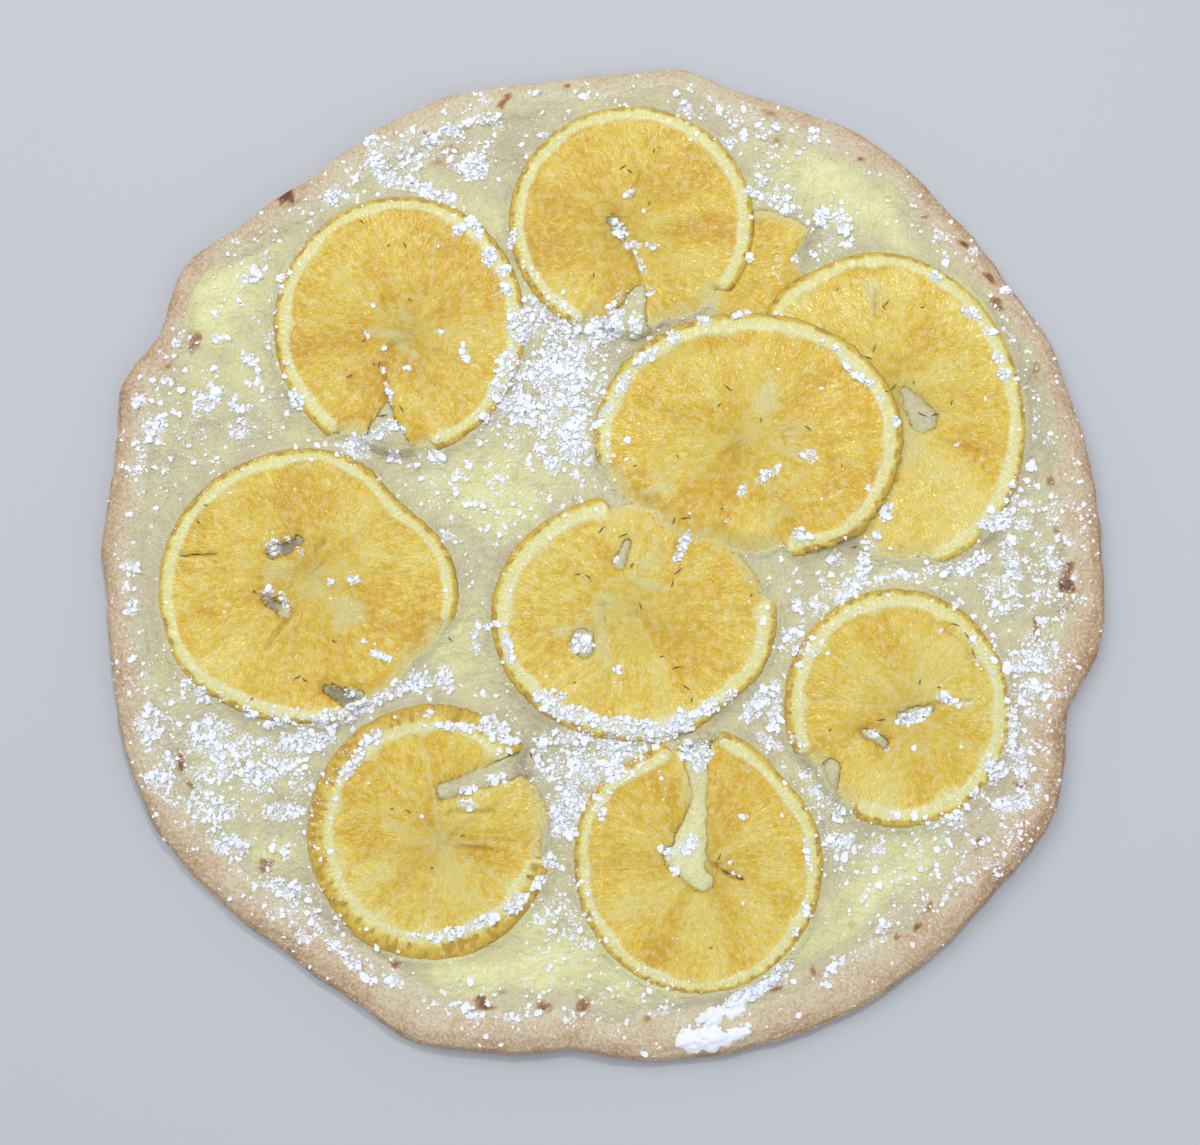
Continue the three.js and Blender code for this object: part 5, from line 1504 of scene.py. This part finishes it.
def model_drifts():
    bm = bmesh.new()
    for at_x, at_y, reach_x, reach_y, turn, height in DRIFTS:
        made = bmesh.ops.create_icosphere(bm, subdivisions=4, radius=1.0)["verts"]
        points = np.array([vert.co[:] for vert in made])
        direction = direction_of(points[:, 0], points[:, 1])
        ragged = 1 + 0.3 * spoke_lumps(direction, points[:, 2] * 0 + at_x, 9, 1.0, 95)
        ragged += 0.25 * spoke_lumps(direction, points[:, 2] * 0 + at_x, 23, 1.0, 96)
        u, v = points[:, 0] * reach_x * ragged, points[:, 1] * reach_y * ragged
        cos, sin = math.cos(math.radians(turn)), math.sin(math.radians(turn))
        x, y = at_x + u * cos - v * sin, at_y + u * sin + v * cos
        base, _ = surface_heights(x, y)
        floor = np.where(base < 0, RIM_HEIGHT - 1, base)
        rise = np.clip(points[:, 2], -0.15, 1) * height + 0.35 * lumps(x, y, 1.6, 97)
        rise += 0.2 * lumps(x, y, 0.8, 98)
        for vert, place in zip(made, np.column_stack((x, y, floor - 0.2 + rise))):
            vert.co = place
    mesh = to_mesh(bm, "sugar_drifts")
    finish_mesh(mesh)
    return mesh


drift_mesh = model_drifts()
ground.append(add_piece("sugar_drifts", drift_mesh, sugar_material, "icing_sugar"))

# %% [markdown]
# ### Scatter the grains
#
# The ground is found once for all grains, and each kind takes those in its range of sizes.

# %% Scatter


def scatter_sugar():
    rng = np.random.default_rng(7)
    x, y, share, size = choose_places(rng)
    below, normals = surface_heights(x, y)
    lying = (below > 2.0) & (normals[:, 2] > 0.25)
    x, y, share, size, below = x[lying], y[lying], share[lying], size[lying], below[lying]
    piled = below + 0.12 * size + rng.uniform(0, 0.9, len(x)) * np.clip(share - 0.4, 0, 0.5)
    for name, least, greatest, sides in GRAIN_KINDS:
        these = (size >= least) & (size < greatest)
        mesh = grain_mesh(name, sides, x[these], y[these], piled[these], size[these], rng)
        add_piece(name, mesh, sugar_material, "icing_sugar")
    return len(x)


print(scatter_sugar(), "grains of sugar")

# %% [markdown]
# ## The floor, the light and the camera
#
# The camera looks almost straight down, tilted seven degrees, from as far as a phone is held. The aim is
# a little below the middle of the pizza, which puts it in the frame as it is in the picture. The light
# is a plain studio one: a broad soft source over the table, a weaker one for the shade side, and a small
# one that makes the wet flesh glint.

# %% Floor, light and camera

CAMERA_TILT = 83  # degrees above the table
CAMERA_DISTANCE = 0.48  # metres


def look_at(thing, place, aim):
    thing.location = place
    thing.rotation_mode = "QUATERNION"
    thing.rotation_quaternion = (Vector(aim) - Vector(place)).to_track_quat("-Z", "Y")


def add_floor():
    bm = bmesh.new()
    bmesh.ops.create_grid(bm, x_segments=2, y_segments=2, size=2.0)
    mesh = to_mesh(bm, "floor")
    material, tree, shader = new_material("pale_table")
    shader.inputs["Base Color"].default_value = colour("#c4c7cc")
    shader.inputs["Roughness"].default_value = 0.7
    mesh.materials.append(material)
    floor = bpy.data.objects.new("floor", mesh)
    bpy.context.scene.collection.objects.link(floor)
    floor.location.z = -0.0002


def add_light(name, place, size, power, tint):
    lamp = bpy.data.lights.new(name, "AREA")
    lamp.shape = "DISK"
    lamp.size = size
    lamp.energy = power
    lamp.color = colour(tint)[:3]
    lamp_object = bpy.data.objects.new(name, lamp)
    bpy.context.scene.collection.objects.link(lamp_object)
    look_at(lamp_object, place, (0, 0, 0))


def add_camera():
    lens = bpy.data.cameras.new("camera")
    lens.lens = 50
    lens.sensor_width = 36
    camera = bpy.data.objects.new("camera", lens)
    bpy.context.scene.collection.objects.link(camera)
    tilt = math.radians(CAMERA_TILT)
    aim = Vector((-0.4 - MIDDLE[0], -6.9 - MIDDLE[1], 8)) * MM
    look_at(camera, aim + Vector((0, -math.cos(tilt), math.sin(tilt))) * CAMERA_DISTANCE, aim)
    bpy.context.scene.camera = camera


def add_world():
    world = bpy.data.worlds.new("studio")
    world.use_nodes = True
    background = world.node_tree.nodes["Background"]
    background.inputs["Color"].default_value = colour("#e8edf5")
    background.inputs["Strength"].default_value = 0.6
    bpy.context.scene.world = world


add_floor()
add_light("broad_soft_light", (-0.9, 0.8, 1.6), 1.25, 13.6, "#ffffff")
add_light("fill_light", (0.7, -0.6, 0.7), 0.8, 1.7, "#f2f5ff")
add_light("glint_light", (0.12, 0.3, 0.8), 0.07, 1.6, "#ffffff")
add_world()
add_camera()
bpy.context.scene.view_settings.view_transform = "Standard"
print("camera at", [round(part, 3) for part in bpy.context.scene.camera.location])
